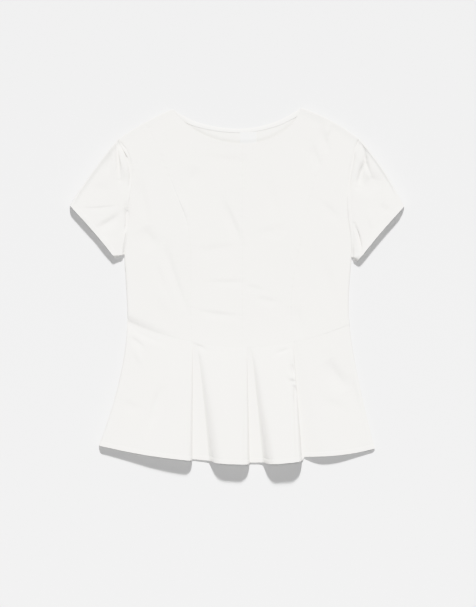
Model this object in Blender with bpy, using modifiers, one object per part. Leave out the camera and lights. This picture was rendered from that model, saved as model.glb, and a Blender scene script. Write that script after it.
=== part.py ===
"""A short-sleeved peplum top in white cotton, laid flat on a surface with its front up.

Metres. +Z is up from the surface, +Y runs to the neck and +X to the right of someone who looks
down on the front. The origin is on the surface, below the middle of the top. Left and right are
the viewer's. The back lies flat, and the front panels lie on it, joined to it along the sides and
shoulders. Heights of cloth are those of the middle of its wall.
"""

from collections import namedtuple

import bpy
import numpy as np

NAME = "peplum_top"

# Cloth
WALL = 0.0012  # thickness of a cloth wall
TRIM_WALL = 0.0010  # thickness of the binding and the label
SEAM = 0.0003  # clear gap between pieces that are sewn together
REST = WALL + SEAM + WALL / 2  # height of a front panel that touches the back
EDGE = WALL + SEAM + 0.0003  # height at which a front panel starts on a side or shoulder seam

# Front bodice: how far it stands off the back
LOFT = 0.0031  # rise from the seams to the open cloth
ROLL = 0.0045  # width of the rounded edge along the side and shoulder seams
UNDERARM_FADE = 0.022  # length over which the side roll fades out above the underarm
UNDERARM_INSET = 0.044  # length over which a side panel steps in from the sleeve there
BUST_RISE = 0.0009
BUST_WIDTH = 0.055
BUSTS = ((-0.092, 0.085), (0.105, 0.085))  # x, y of the fullest places
WAIST_PULL = 0.0017  # how deep the left end of the waist seam is drawn down
WAIST_PULL_END = -0.105  # x where that draw has faded out
WAIST_PULL_WIDTH = 0.008
WAIST_DIP = 0.0004  # how deep the rest of the waist seam lies

# Where the main seams run: x of each at height y, from the shoulder down
Side = namedtuple("Side", "y left right")
SIDES = (
    Side(0.2655, -0.2152, 0.2182),
    Side(0.2484, -0.2021, 0.2119),
    Side(0.2300, -0.1932, 0.2077),
    Side(0.2100, -0.1885, 0.2030),
    Side(0.1820, -0.1894, 0.1993),
    Side(0.1550, -0.1913, 0.1984),
    Side(0.1280, -0.1933, 0.1994),
    Side(0.0970, -0.1967, 0.2034),
    Side(0.0550, -0.2025, 0.2062),
    Side(0.0200, -0.2007, 0.2037),
    Side(-0.0160, -0.1985, 0.2012),
    Side(-0.0580, -0.1973, 0.2018),
    Side(-0.0800, -0.1978, 0.2040),
)
Princess = namedtuple("Princess", "y left right")
PRINCESS_SEAMS = (
    Princess(0.2930, -0.1626, 0.1706),
    Princess(0.2240, -0.1328, 0.1514),
    Princess(0.1640, -0.1088, 0.1315),
    Princess(0.1150, -0.0910, 0.1210),
    Princess(0.0700, -0.0846, 0.1120),
    Princess(0.0150, -0.0836, 0.1008),
    Princess(-0.0350, -0.0842, 0.0962),
    Princess(-0.1040, -0.0822, 0.1020),
)
CENTRE_FRONT = 0.0085  # x of the centre front seam

# Neckline: y of its front and back edges at x
Neck = namedtuple("Neck", "x front back")
NECK = (
    Neck(-0.1166, 0.3177, 0.3177),
    Neck(-0.0950, 0.2961, 0.3024),
    Neck(-0.0842, 0.2862, 0.2952),
    Neck(-0.0662, 0.2754, 0.2871),
    Neck(-0.0482, 0.2670, 0.2830),
    Neck(-0.0212, 0.2595, 0.2802),
    Neck(0.0058, 0.2567, 0.2790),
    Neck(0.0328, 0.2582, 0.2799),
    Neck(0.0598, 0.2655, 0.2857),
    Neck(0.0778, 0.2754, 0.2925),
    Neck(0.0922, 0.2853, 0.3020),
    Neck(0.1048, 0.2988, 0.3110),
    Neck(0.1156, 0.3204, 0.3204),
)

# Each half: -1 is the viewer's left, 1 the right
Half = namedtuple("Half", "name side neck shoulder cuff_top cuff_low underarm shoulder_bow sleeve_bow")
LEFT = Half(
    "left",
    -1,
    (-0.1166, 0.3177),
    (-0.2138, 0.2637),
    (-0.3007, 0.1449),
    (-0.2190, 0.0506),
    (-0.2025, 0.0560),
    0.0034,
    0.0022,
)
RIGHT = Half(
    "right",
    1,
    (0.1156, 0.3204),
    (0.2182, 0.2655),
    (0.3007, 0.1435),
    (0.2158, 0.0438),
    (0.2062, 0.0520),
    0.0056,
    0.0043,
)
CUFF_BOW = -0.0018  # how far the middle of a cuff's edge bends in

# Waist seam: a shallow curve, lowest near the middle
WAIST_X = 0.011
WAIST_Y = -0.110
WAIST_RISE = 1.12  # rise per square metre of distance from its lowest point

# Front peplum: its side edges at the hem, and its three pleats
HEM_LEFT = (-0.2484, -0.2866)
HEM_RIGHT = (0.2479, -0.2921)
FLARE_LEFT = 1.7  # power of the side's curve, 1 being straight
FLARE_RIGHT = 1.3
DROP_POWER = 0.9  # how soon a fold reaches its depth below the waist
SIDE_ROLL = 0.006  # width of the rounded edge at the hem's ends
LEFT_END_HEIGHT = 0.0100  # height of the hem just in from its left end
RIGHT_END_HEIGHT = 0.0048
PLEAT_ROUND = 0.0040  # radius of a pleat's outer fold
PLEAT_FOOT = 0.0026  # radius of the fold at its foot
PLEAT_TOP = 0.0125  # width of a pleat where it starts at the waist
PLEAT_LEAD = 0.0038  # how much of that lies before its crisp fold
# waist_x and edge_x are the crisp fold at the waist and at the hem. valley is the low cloth beside
# it and rise the slope up to the next panel. before and after are the heights of the two panels.
Pleat = namedtuple("Pleat", "waist_x edge_x before undercut valley rise after spread")
PLEATS = (
    Pleat(-0.0790, -0.0808, 0.0190, 0.0015, 0.0270, 0.0170, 0.0235, 0.75),
    Pleat(0.0184, 0.0235, 0.0240, 0.0015, 0.0210, 0.0115, 0.0270, 0.80),
    Pleat(0.1015, 0.1172, 0.0280, 0.0050, 0.0065, 0.0330, 0.0126, 0.90),
)
# y of the front's hem at x
Hem = namedtuple("Hem", "x y")
HEM = (
    Hem(-0.2484, -0.2866),
    Hem(-0.2100, -0.2950),
    Hem(-0.1670, -0.3030),
    Hem(-0.1240, -0.3090),
    Hem(-0.0808, -0.3138),
    Hem(-0.0200, -0.3190),
    Hem(0.0230, -0.3202),
    Hem(0.0700, -0.3191),
    Hem(0.1172, -0.3145),
    Hem(0.1210, -0.3070),
    Hem(0.1500, -0.3062),
    Hem(0.1825, -0.3040),
    Hem(0.2150, -0.2995),
    Hem(0.2479, -0.2921),
)
HEM_STEP = (0.1172, 0.1210)  # between these the hem steps up behind the last fold
BACK_HEM_UP = 0.0040  # the back's hem lies this far above the front's

# Soft creases: from x0, y0 to x1, y1, height at the middle of the crease, and its width
Crease = namedtuple("Crease", "x0 y0 x1 y1 height width")
CREASE_TIP = 0.08  # share of its length over which a crease keeps the depth of its tip
FRONT_CREASES = (
    Crease(-0.130, 0.078, -0.088, -0.040, -0.0010, 0.0110),
    Crease(-0.026, 0.152, 0.006, 0.080, -0.0007, 0.0100),
    Crease(0.150, 0.286, 0.164, 0.235, -0.0008, 0.0090),
    Crease(-0.176, 0.215, -0.158, 0.110, -0.0007, 0.0110),
)
SLEEVE_CREASES = (
    Crease(-0.2165, 0.2560, -0.2122, 0.1960, -0.0040, 0.0034),
    Crease(-0.2260, 0.2440, -0.2330, 0.2020, -0.0022, 0.0044),
    Crease(-0.2760, 0.1420, -0.2260, 0.1460, -0.0022, 0.0050),
    Crease(-0.2450, 0.1020, -0.2080, 0.1300, -0.0024, 0.0055),
    Crease(0.2205, 0.2600, 0.2250, 0.2180, -0.0036, 0.0030),
    Crease(0.2285, 0.2480, 0.2415, 0.1960, -0.0034, 0.0038),
    Crease(0.2175, 0.2200, 0.2270, 0.1830, -0.0040, 0.0048),
    Crease(0.2180, 0.1060, 0.2120, 0.0640, -0.0030, 0.0040),
)

# Sleeves
SLEEVE_LOFT = 0.0078  # height of the upper layer in the middle of the sleeve
CUFF_LOFT = 0.0110  # and at the cuff
HEAD_RISE = 0.0022  # extra height of the gathered head
HEAD_REACH = 0.060  # how far from the shoulder point the gathers carry it
SEAM_FADE = 0.011  # distance over which the sleeve leaves the height of the armhole seam
TUBE_EDGE = 0.0012  # radius of the fold where the upper layer turns under
TUBE_ROLL = 0.0050  # width over which the upper layer rounds up from that fold

# Neck trim
BINDING_WIDTH = 0.0068
BINDING_ENDS = (-0.1075, 0.1085)
LABEL_SIZE = (0.0290, 0.0175)
LABEL_X = 0.0200

# Finish, linear colours
COTTON = (0.915, 0.905, 0.885, 1.0)
BINDING_COTTON = (0.93, 0.925, 0.91, 1.0)
LABEL_SATIN = (0.90, 0.90, 0.89, 1.0)
ROUGHNESS = 0.85

# How finely the cloth is divided
QUARTER = np.pi / 2
ROLL_STEPS = 3  # columns in a rounded edge
FOLD_STEPS = 4  # columns in each of a pleat's folds
VALLEY_COLUMNS = 3
RISE_COLUMNS = 6
GAP_COLUMNS = (6, 4, 4, 5)  # inner columns of the peplum's panels, from the left
PEPLUM_ROWS = 13
PEPLUM_EASE = 1.25  # power by which those rows lie closer near the waist
SIDE_COLUMNS = 6  # columns of a side panel, without its rounded edge
SIDE_WIDTH = 0.10  # its usual width
NECKLINE_COLUMNS = 10
NECKLINE_EASE = 1.35  # power by which they lie closer near the shoulder
SHOULDER_COLUMNS = 3
NECK_POINTS = 30  # points along the flat pieces' edges
BINDING_POINTS = 26
WAIST_POINTS = 22
SHOULDER_POINTS = 6
SIDE_POINTS = 14
SETTLING_ROUNDS = 4  # repeats that find where two curved seams meet
# Shares of the armhole's height, from the shoulder down, where panels and sleeves have a row
ARMHOLE_ROWS = (0.0, 0.05, 0.11, 0.18, 0.27, 0.37, 0.48, 0.60, 0.73, 0.87, 1.0)
# Shares of the side seam's height, from the underarm to the waist
SIDE_ROWS = (0.22, 0.44, 0.64, 0.80, 0.90, 0.96, 1.0)
# Extra columns of a sleeve's upper layer in each gap between those rows, from the underarm up
SLEEVE_EXTRA = (0, 0, 0, 1, 1, 1, 1, 2)
SLEEVE_ROWS = (0.0, 0.04, 0.09, 0.16, 0.25, 0.37, 0.52, 0.70, 0.86, 1.0)
ROLL_LIMIT = 0.9  # most of its last gap that a sleeve's rounded edge takes
FOLD_LIMIT = 0.04  # most of a ring's length that its fold takes


def through(knots, values, at):
    """Heights of a smooth curve through a table's points, a cubic between each two."""
    order = np.argsort(knots)
    knots = np.asarray(knots, float)[order]
    values = np.asarray(values, float)[order]
    slopes = np.gradient(values, knots)
    at = np.clip(np.asarray(at, float), knots[0], knots[-1])
    i = np.clip(np.searchsorted(knots, at) - 1, 0, len(knots) - 2)
    step = knots[i + 1] - knots[i]
    t = (at - knots[i]) / step
    rise = (2 * t - 3) * t * t
    lead = values[i] * (1 + rise) - values[i + 1] * rise
    turn = slopes[i] * (t - 1) ** 2 * t + slopes[i + 1] * (t - 1) * t * t
    return lead + turn * step


def column(table, name):
    """One named column of a table."""
    return np.array([getattr(row, name) for row in table])


def side_x(half, y):
    """x of the armhole and side seam at height y."""
    return through(column(SIDES, "y"), column(SIDES, half.name), y)


def princess_x(half, y):
    """x of the princess seam at height y."""
    return through(column(PRINCESS_SEAMS, "y"), column(PRINCESS_SEAMS, half.name), y)


def neck_y(edge, x):
    """y of the neckline's front or back edge at x."""
    return through(column(NECK, "x"), column(NECK, edge), x)


def waist_y(x):
    """y of the waist seam at x."""
    return WAIST_Y + WAIST_RISE * (np.asarray(x) - WAIST_X) ** 2


def waist_end(half):
    """x of the waist seam's end on the outline."""
    x = side_x(half, WAIST_Y)
    for _ in range(SETTLING_ROUNDS):
        x = side_x(half, waist_y(x))
    return float(x)


def armhole_levels(half):
    """Heights of the armhole's rows, from the shoulder point to the underarm."""
    return half.shoulder[1] + (half.underarm[1] - half.shoulder[1]) * np.array(ARMHOLE_ROWS)


def outer_levels(half):
    """Heights of all rows on a bodice's outer edge, from the shoulder point to the waist."""
    end = float(waist_y(waist_end(half))) + SEAM / 2
    below = half.underarm[1] + (end - half.underarm[1]) * np.array(SIDE_ROWS)
    return np.concatenate((armhole_levels(half), below))


def outline_x(half, y):
    """x of the bodice's outer edge: straight between its rows, so that neighbours match."""
    levels = outer_levels(half)[::-1]
    return np.interp(y, levels, side_x(half, levels))


def hem_y(x):
    """y of the front's hem at x, with its step up behind the last fold."""
    x = np.asarray(x, float)
    near, far = HEM_STEP
    first = [row for row in HEM if row.x <= near]
    rest = [row for row in HEM if row.x >= far]
    low = through(column(first, "x"), column(first, "y"), x)
    high = through(column(rest, "x"), column(rest, "y"), x)
    share = np.clip((x - near) / (far - near), 0, 1)
    return low * (1 - share) + high * share


def bowed(start, end, bow, share):
    """Points on a line from start to end that bows out to its left by bow in the middle."""
    start, end = np.array(start), np.array(end)
    along = end - start
    normal = np.array((-along[1], along[0])) / np.hypot(*along)
    share = np.asarray(share, float)[:, None]
    return start + along * share + normal * 4 * bow * share * (1 - share)


def shoulder_y(half, x):
    """y of the shoulder seam at x, run on straight past both of its ends."""
    share = (np.asarray(x, float) - half.neck[0]) / (half.shoulder[0] - half.neck[0])
    inside = np.clip(share, 0, 1)
    straight = half.neck[1] + (half.shoulder[1] - half.neck[1]) * share
    return straight + 4 * half.shoulder_bow * inside * (1 - inside)


def rounded(distance, width):
    """A quarter ellipse: 0 at a seam, upright there, and 1 from width on."""
    left = 1 - np.clip(np.asarray(distance) / width, 0, 1)
    return np.sqrt(1 - left * left)


def creased(x, y, creases):
    """Height that the creases add: a soft bell across each, fading out at its ends."""
    total = np.zeros(np.shape(x))
    for crease in creases:
        along = np.array((crease.x1 - crease.x0, crease.y1 - crease.y0))
        length = np.hypot(*along)
        across_x, across_y = x - crease.x0, y - crease.y0
        share = (across_x * along[0] + across_y * along[1]) / length**2
        away = (across_x * along[1] - across_y * along[0]) / length
        beyond = (share - np.clip(share, 0, 1)) * length
        fade = np.sin(np.pi * np.clip(share, CREASE_TIP, 1 - CREASE_TIP))
        total += crease.height * fade * np.exp(-(away**2 + beyond**2) / crease.width**2)
    return total


def front_height(x, y):
    """Height of the front bodice over the surface at x, y."""
    height = np.full(np.shape(x), LOFT)
    for bust_x, bust_y in BUSTS:
        reach = ((x - bust_x) ** 2 + (y - bust_y) ** 2) / BUST_WIDTH**2
        height += BUST_RISE * np.exp(-reach)
    height += creased(x, y, FRONT_CREASES)
    pull = np.clip((WAIST_PULL_END - x) / (WAIST_PULL_END - SIDES[-1].left), 0, 1)
    over_waist = (y - waist_y(x)) / WAIST_PULL_WIDTH
    height -= (WAIST_DIP + WAIST_PULL * pull) * np.exp(-(over_waist**2))
    for half in (LEFT, RIGHT):
        above = np.clip((y - half.underarm[1]) / UNDERARM_FADE, 0, 1)
        to_side = (side_x(half, y) - x) * half.side - WALL / 2 + above * ROLL
        slope = (half.neck[1] - half.shoulder[1]) / (half.neck[0] - half.shoulder[0])
        to_shoulder = (shoulder_y(half, x) - WALL / 2 - y) / np.hypot(1, slope)
        height *= rounded(to_side, ROLL) * rounded(to_shoulder, ROLL)
    return EDGE + height


def roll_steps(width):
    """Distances that divide a rounded edge of a width, close at first, its end left out."""
    return width * (1 - np.cos(QUARTER * np.arange(ROLL_STEPS) / ROLL_STEPS))


def eased(count, power):
    """Shares from 0 to 1, closer at the start where power is over 1."""
    return np.linspace(0, 1, count) ** power


def patch(top, bottom, left, right, across, down):
    """Plan points inside four edges: rows follow left and right, columns top and bottom."""
    u, v = across[None, :, None], down[:, None, None]
    sides = left[:, None] * (1 - u) + right[:, None] * u
    ends = top[None] * (1 - v) + bottom[None] * v
    corners = (top[0] * (1 - u) + top[-1] * u) * (1 - v)
    corners = corners + (bottom[0] * (1 - u) + bottom[-1] * u) * v
    return sides + ends - corners


def measured(points):
    """Share of its length at which each point of a line lies."""
    steps = np.hypot(*np.diff(points, axis=0).T)
    return np.concatenate(([0], np.cumsum(steps))) / steps.sum()


def finish(name, colour):
    """A plain finish for one sub-part."""
    material = bpy.data.materials.new(name)
    material.use_nodes = True
    shader = material.node_tree.nodes["Principled BSDF"]
    shader.inputs["Base Color"].default_value = colour
    shader.inputs["Roughness"].default_value = ROUGHNESS
    shader.inputs["Metallic"].default_value = 0.0
    return material


def cloth(name, points, collection, closed=False):
    """A wall of cloth round a grid of points, rows by columns. A closed one is a tube."""
    rows, columns = points.shape[:2]
    number = np.arange(rows * columns).reshape(rows, columns)
    following = np.roll(number, -1, axis=1)
    last = columns if closed else columns - 1
    corners = (number[:-1], number[1:], following[1:], following[:-1])
    faces = np.stack([corner[:, :last] for corner in corners], axis=-1).reshape(-1, 4)
    mesh = bpy.data.meshes.new(name)
    mesh.from_pydata(points.reshape(-1, 3).tolist(), [], faces.tolist())
    mesh.shade_smooth()
    piece = bpy.data.objects.new(name, mesh)
    collection.objects.link(piece)
    wall = piece.modifiers.new("Wall", "SOLIDIFY")
    wall.thickness = WALL
    wall.offset = 0.0
    wall.use_even_offset = True
    piece.data.materials.append(finish(name, COTTON))
    return piece


def flat_piece(name, outline, bottom, thickness, colour, collection):
    """A flat piece cut to an outline, its underside at the height bottom."""
    curve = bpy.data.curves.new(name, "CURVE")
    curve.dimensions = "2D"
    curve.fill_mode = "BOTH"
    curve.extrude = thickness / 2
    spline = curve.splines.new("POLY")
    spline.points.add(len(outline) - 1)
    for point, (x, y) in zip(spline.points, outline):
        point.co = (x, y, 0.0, 1.0)
    spline.use_cyclic_u = True
    piece = bpy.data.objects.new(name, curve)
    piece.location.z = bottom + thickness / 2
    collection.objects.link(piece)
    curve.materials.append(finish(name, colour))
    return piece


def lift(plan):
    """A front bodice panel's points: its plan, raised to the front's height."""
    return np.dstack((plan, front_height(plan[..., 0], plan[..., 1])))


def panel_levels(half):
    """Heights of a front panel's rows on its outer edge, with those of the shoulder's roll."""
    levels = outer_levels(half)
    return np.concatenate((levels[0] - WALL / 2 - roll_steps(ROLL), levels[1:]))


def panel_down(half):
    """Shares of a front panel's height at its rows."""
    levels = panel_levels(half)
    return (levels[0] - levels) / (levels[0] - levels[-1])


def princess_edge(half, shift):
    """Points of the princess seam at a panel's rows, moved over by shift."""
    top_y = float(shoulder_y(half, princess_x(half, PRINCESS_SEAMS[0].y))) - WALL / 2
    end_x = princess_x(half, WAIST_Y)
    for _ in range(SETTLING_ROUNDS):
        end_x = princess_x(half, waist_y(end_x))
    y = top_y + (waist_y(end_x) + SEAM / 2 - top_y) * panel_down(half)
    return np.column_stack((princess_x(half, y) + shift, y))


def waist_edge(start_x, end_x, across):
    """The bodice's lower edge between two seams."""
    x = start_x + (end_x - start_x) * across
    return np.column_stack((x, waist_y(x) + SEAM / 2))


def front_side(half, collection):
    """A side panel, from the armhole and side seam to the princess seam."""
    levels = panel_levels(half)
    above = np.clip((levels - half.underarm[1]) / UNDERARM_INSET, 0, 1)
    inset = WALL / 2 + (SEAM - WALL) / 2 * above
    outer = np.column_stack((outline_x(half, levels) - half.side * inset, levels))
    inner = princess_edge(half, half.side * SEAM / 2)
    roll = ROLL / SIDE_WIDTH
    across = np.concatenate((roll_steps(roll), np.linspace(roll, 1, SIDE_COLUMNS)))
    top = outer[0] + (inner[0] - outer[0]) * across[:, None]
    top[:, 1] = shoulder_y(half, top[:, 0]) - WALL / 2
    top[0], top[-1] = outer[0], inner[0]
    bottom = waist_edge(outer[-1, 0], inner[-1, 0], across)
    plan = patch(top, bottom, outer, inner, across, panel_down(half))
    if half is RIGHT:
        plan = plan[:, ::-1]
    return cloth(f"front_side_{half.name}", lift(plan), collection)


def front_centre(half, collection):
    """A centre panel, from the princess seam to the centre front seam."""
    outer = princess_edge(half, -half.side * SEAM / 2)
    neck_x = half.neck[0] - half.side * WALL / 2
    centre_x = CENTRE_FRONT + half.side * SEAM / 2
    seam_x = np.linspace(outer[0, 0], neck_x, SHOULDER_COLUMNS)
    neckline_x = neck_x + (centre_x - neck_x) * eased(NECKLINE_COLUMNS, NECKLINE_EASE)
    top = np.concatenate(
        (
            np.column_stack((seam_x[:-1], shoulder_y(half, seam_x[:-1]) - WALL / 2)),
            np.column_stack((neckline_x, neck_y("front", neckline_x) - WALL / 2)),
        )
    )
    top[0] = outer[0]
    across = measured(top)
    down = panel_down(half)
    centre_y = top[-1, 1] + (waist_y(centre_x) + SEAM / 2 - top[-1, 1]) * down
    centre = np.column_stack((np.full(len(down), centre_x), centre_y))
    bottom = waist_edge(outer[-1, 0], centre_x, across)
    plan = patch(top, bottom, outer, centre, across, down)
    if half is RIGHT:
        plan = plan[:, ::-1]
    return cloth(f"front_centre_{half.name}", lift(plan), collection)


def quarter_turn(steps):
    """Angles that divide a quarter turn, both ends left out but the last."""
    return QUARTER * np.arange(1, steps + 1) / steps


def pleat_section(pleat):
    """Hem section of one pleat: x and height of its fold, foot, valley and rise."""
    turn = quarter_turn(FOLD_STEPS)
    fold_x = pleat.edge_x - PLEAT_ROUND * (1 - np.sin(turn))
    fold_z = pleat.before - PLEAT_ROUND * (1 - np.cos(turn))
    foot_x = pleat.edge_x - pleat.undercut + PLEAT_FOOT * (1 - np.cos(turn))
    foot_z = REST + PLEAT_FOOT * (1 - np.sin(turn))
    wall_z = REST + PLEAT_FOOT
    end = pleat.edge_x + pleat.valley
    valley_x = np.linspace(foot_x[-1], end, VALLEY_COLUMNS + 1)[1:]
    share = np.linspace(0, 1, RISE_COLUMNS + 1)[1:]
    rise_x = end + pleat.rise * share
    rise_z = REST + (pleat.after - REST) * (1 - np.cos(np.pi * share)) / 2
    x = np.concatenate((fold_x, (pleat.edge_x - pleat.undercut,), foot_x, valley_x, rise_x))
    z = np.concatenate((fold_z, (wall_z,), foot_z, np.full(VALLEY_COLUMNS, REST), rise_z))
    return np.column_stack((x, z))


def panel_section(start, end, count):
    """Hem section of the cloth between two pleats, its inner points only."""
    share = np.linspace(0, 1, count + 2)[1:-1]
    ease = share * share * (3 - 2 * share)
    x = start[0] + (end[0] - start[0]) * share
    z = start[1] + (end[1] - start[1]) * ease
    return np.column_stack((x, z))


def front_peplum(collection):
    """The front peplum: its hem section, drawn up to the waist seam."""
    left_x, right_x = HEM_LEFT[0] + WALL / 2, HEM_RIGHT[0] - WALL / 2
    turn = np.concatenate(((0,), quarter_turn(ROLL_STEPS)))
    left_roll = np.column_stack(
        (
            left_x + SIDE_ROLL * (1 - np.cos(turn)),
            EDGE + (LEFT_END_HEIGHT - EDGE) * np.sin(turn),
        )
    )
    right_roll = np.column_stack(
        (
            right_x - SIDE_ROLL * (1 - np.cos(turn[::-1])),
            EDGE + (RIGHT_END_HEIGHT - EDGE) * np.sin(turn[::-1]),
        )
    )
    hem = [left_roll]
    waist = [waist_end(LEFT) + WALL / 2 + ROLL * (1 - np.cos(turn))]
    spread_x, spread = [left_x], [FLARE_LEFT]
    for pleat, columns in zip(PLEATS, GAP_COLUMNS):
        section = pleat_section(pleat)
        flat_start = (pleat.edge_x - PLEAT_ROUND, pleat.before)
        panel = panel_section(hem[-1][-1], flat_start, columns)
        first = pleat.waist_x - PLEAT_LEAD
        pleat_waist = first + PLEAT_TOP * np.linspace(0, 1, len(section))
        panel_waist = np.linspace(waist[-1][-1], first, columns + 2)[1:-1]
        hem += [panel, section]
        waist += [panel_waist, pleat_waist]
        spread_x += [pleat.edge_x, pleat.edge_x + pleat.valley + pleat.rise]
        spread += [1.0, pleat.spread]
    last = panel_section(hem[-1][-1], right_roll[0], GAP_COLUMNS[-1])
    right_waist = waist_end(RIGHT) - WALL / 2 - ROLL * (1 - np.cos(turn[::-1]))
    waist += [np.linspace(waist[-1][-1], right_waist[0], len(last) + 2)[1:-1], right_waist]
    hem += [last, right_roll]
    hem = np.concatenate(hem)
    waist_x = np.concatenate(waist)
    power = np.interp(hem[:, 0], spread_x + [right_x], spread + [FLARE_RIGHT])
    down = eased(PEPLUM_ROWS, PEPLUM_EASE)[:, None]
    waist_z = front_height(waist_x, waist_y(waist_x))
    x = waist_x + (hem[:, 0] - waist_x) * down**power
    start_y = waist_y(waist_x) - SEAM / 2
    y = start_y + (hem_y(hem[:, 0]) - start_y) * down
    z = waist_z + (hem[:, 1] - waist_z) * down**DROP_POWER
    return cloth("front_peplum", np.dstack((x, y, z)), collection)


def between(shares, extra):
    """The shares with extra even steps put in each gap, as many as extra names for it."""
    parts = [np.linspace(a, b, n + 2)[:-1] for a, b, n in zip(shares, shares[1:], extra)]
    return np.concatenate((*parts, shares[-1:]))


def sleeve_plan(half):
    """Plan of a sleeve's layer: rows from the armhole to the cuff, columns from the underarm up."""
    down = np.array(SLEEVE_ROWS)
    span = 1 - np.array(ARMHOLE_ROWS)[::-1]
    levels = armhole_levels(half)[::-1]
    armhole = np.column_stack((outline_x(half, levels) + half.side * SEAM / 2, levels))
    armhole[0] += (half.side * WALL / 2, WALL / 2)
    underarm, shoulder = armhole[0], armhole[-1]
    cuff = bowed(half.cuff_low, half.cuff_top, -half.side * CUFF_BOW, span)
    low = bowed(underarm, half.cuff_low, 0.0, down)
    top = bowed(shoulder, half.cuff_top, half.side * half.sleeve_bow, down)
    return patch(armhole, cuff, low, top, span, down), span


def sleeve_ring(line, span):
    """One ring of the tube: x, y and distances to the two edges, upper layer then lower."""
    steps = np.concatenate(([0], np.cumsum(np.hypot(*np.diff(line, axis=0).T))))
    length = steps[-1]
    roll = roll_steps(min(TUBE_ROLL / length, ROLL_LIMIT * (1 - span[-2])))
    fold = roll_steps(min(TUBE_EDGE / length, FOLD_LIMIT))[1:]
    inner = between(span[1:-1], SLEEVE_EXTRA)
    upper = np.concatenate((roll, inner, 1 - roll[::-1]))
    lower = np.concatenate((1 - fold, span[-2:0:-1], fold[::-1]))
    at = np.concatenate((upper, lower))
    x, y = np.interp(at, span, line[:, 0]), np.interp(at, span, line[:, 1])
    low_side = np.interp(at, span, steps)
    return np.column_stack((x, y, np.minimum(low_side, length - low_side))), len(upper)


def sleeve_height(half, x, y, to_edge):
    """Height of a sleeve's upper layer: from the armhole's seam it fills out to the cuff."""
    middle = WALL / 2 + TUBE_EDGE
    away = np.hypot(x - x[:1], y - y[:1])
    leave = 1 - np.exp(-((away / SEAM_FADE) ** 2))
    down = np.array(SLEEVE_ROWS)[:, None]
    free = SLEEVE_LOFT + (CUFF_LOFT - SLEEVE_LOFT) * down**2
    to_head = np.hypot(x - half.shoulder[0], y - half.shoulder[1])
    free = free + HEAD_RISE * np.exp(-((to_head / HEAD_REACH) ** 2))
    held = np.maximum(front_height(x[0], y[0])[None] - middle, TUBE_EDGE)
    rise = held + (free - middle - held) * leave + creased(x, y, SLEEVE_CREASES) * leave
    rise = np.maximum(rise, TUBE_EDGE)
    return middle + rise * rounded(to_edge, TUBE_ROLL)


def sleeve(half, collection):
    """A sleeve: a flat tube from the armhole seam to the cuff, gathered at its head."""
    plan, span = sleeve_plan(half)
    rings = [sleeve_ring(line, span) for line in plan]
    upper = rings[0][1]
    x, y, to_edge = np.moveaxis(np.array([ring for ring, _ in rings]), -1, 0)
    z = WALL / 2 + TUBE_EDGE * (1 - rounded(to_edge, TUBE_EDGE))
    z[:, :upper] = sleeve_height(half, x, y, to_edge)[:, :upper]
    points = np.dstack((x, y, z))
    if half is LEFT:
        points = points[:, ::-1]
    return cloth(f"sleeve_{half.name}", points, collection, closed=True)


def back_side(half):
    """The back bodice's edge from the shoulder point to the waist, under the front's."""
    y = outer_levels(half)
    inset = np.where(y > half.underarm[1], SEAM / 2, 0.0)
    return np.column_stack((outline_x(half, y) - half.side * inset, y))


def back_bodice(collection):
    """The back bodice, flat on the surface."""
    left, right = back_side(LEFT), back_side(RIGHT)
    neck_x = np.linspace(LEFT.neck[0], RIGHT.neck[0], NECK_POINTS)
    neckline = np.column_stack((neck_x, neck_y("back", neck_x)))
    share = np.linspace(0, 1, SHOULDER_POINTS)[1:-1]
    shoulders = []
    for half in (LEFT, RIGHT):
        x = half.shoulder[0] + (half.neck[0] - half.shoulder[0]) * share
        shoulders.append(np.column_stack((x, shoulder_y(half, x))))
    waist_x = np.linspace(left[-1, 0], right[-1, 0], WAIST_POINTS)[1:-1]
    waist = np.column_stack((waist_x, waist_y(waist_x) + SEAM / 2))
    outline = np.concatenate(
        (left[::-1], shoulders[0], neckline, shoulders[1][::-1], right, waist[::-1])
    )
    return flat_piece("back_bodice", outline, 0.0, WALL, COTTON, collection)


def back_peplum(collection):
    """The back peplum, flat on the surface, its hem just behind the front's."""
    down = np.linspace(0, 1, SIDE_POINTS)
    sides = []
    for half, corner, power in ((LEFT, HEM_LEFT, FLARE_LEFT), (RIGHT, HEM_RIGHT, FLARE_RIGHT)):
        start_x = waist_end(half)
        start_y = float(waist_y(start_x)) - SEAM / 2
        x = start_x + (corner[0] - start_x) * down**power
        sides.append(np.column_stack((x, start_y + (corner[1] - start_y) * down)))
    left, right = sides
    share = np.linspace(0, 1, WAIST_POINTS)[1:-1]
    hem_x = HEM_LEFT[0] + (HEM_RIGHT[0] - HEM_LEFT[0]) * share
    up = BACK_HEM_UP * np.sqrt(np.sin(np.pi * share))
    smooth = [row for row in HEM if row.x not in HEM_STEP]
    hem = np.column_stack((hem_x, through(column(smooth, "x"), column(smooth, "y"), hem_x) + up))
    waist_x = left[0, 0] + (right[0, 0] - left[0, 0]) * share
    waist = np.column_stack((waist_x, waist_y(waist_x) - SEAM / 2))
    outline = np.concatenate((left[::-1], waist, right, hem[::-1]))
    return flat_piece("back_peplum", outline, 0.0, WALL, COTTON, collection)


def back_neck_binding(collection):
    """The binding on the inside of the back neck."""
    x = np.linspace(*BINDING_ENDS, BINDING_POINTS)
    edge = np.column_stack((x, neck_y("back", x)))
    run = np.gradient(edge, axis=0)
    normal = np.column_stack((run[:, 1], -run[:, 0])) / np.hypot(*run.T)[:, None]
    outer = edge + normal * SEAM
    inner = edge + normal * BINDING_WIDTH
    outline = np.concatenate((outer, inner[::-1]))
    bottom = WALL + SEAM
    return flat_piece(
        "back_neck_binding", outline, bottom, TRIM_WALL, BINDING_COTTON, collection
    )


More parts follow.
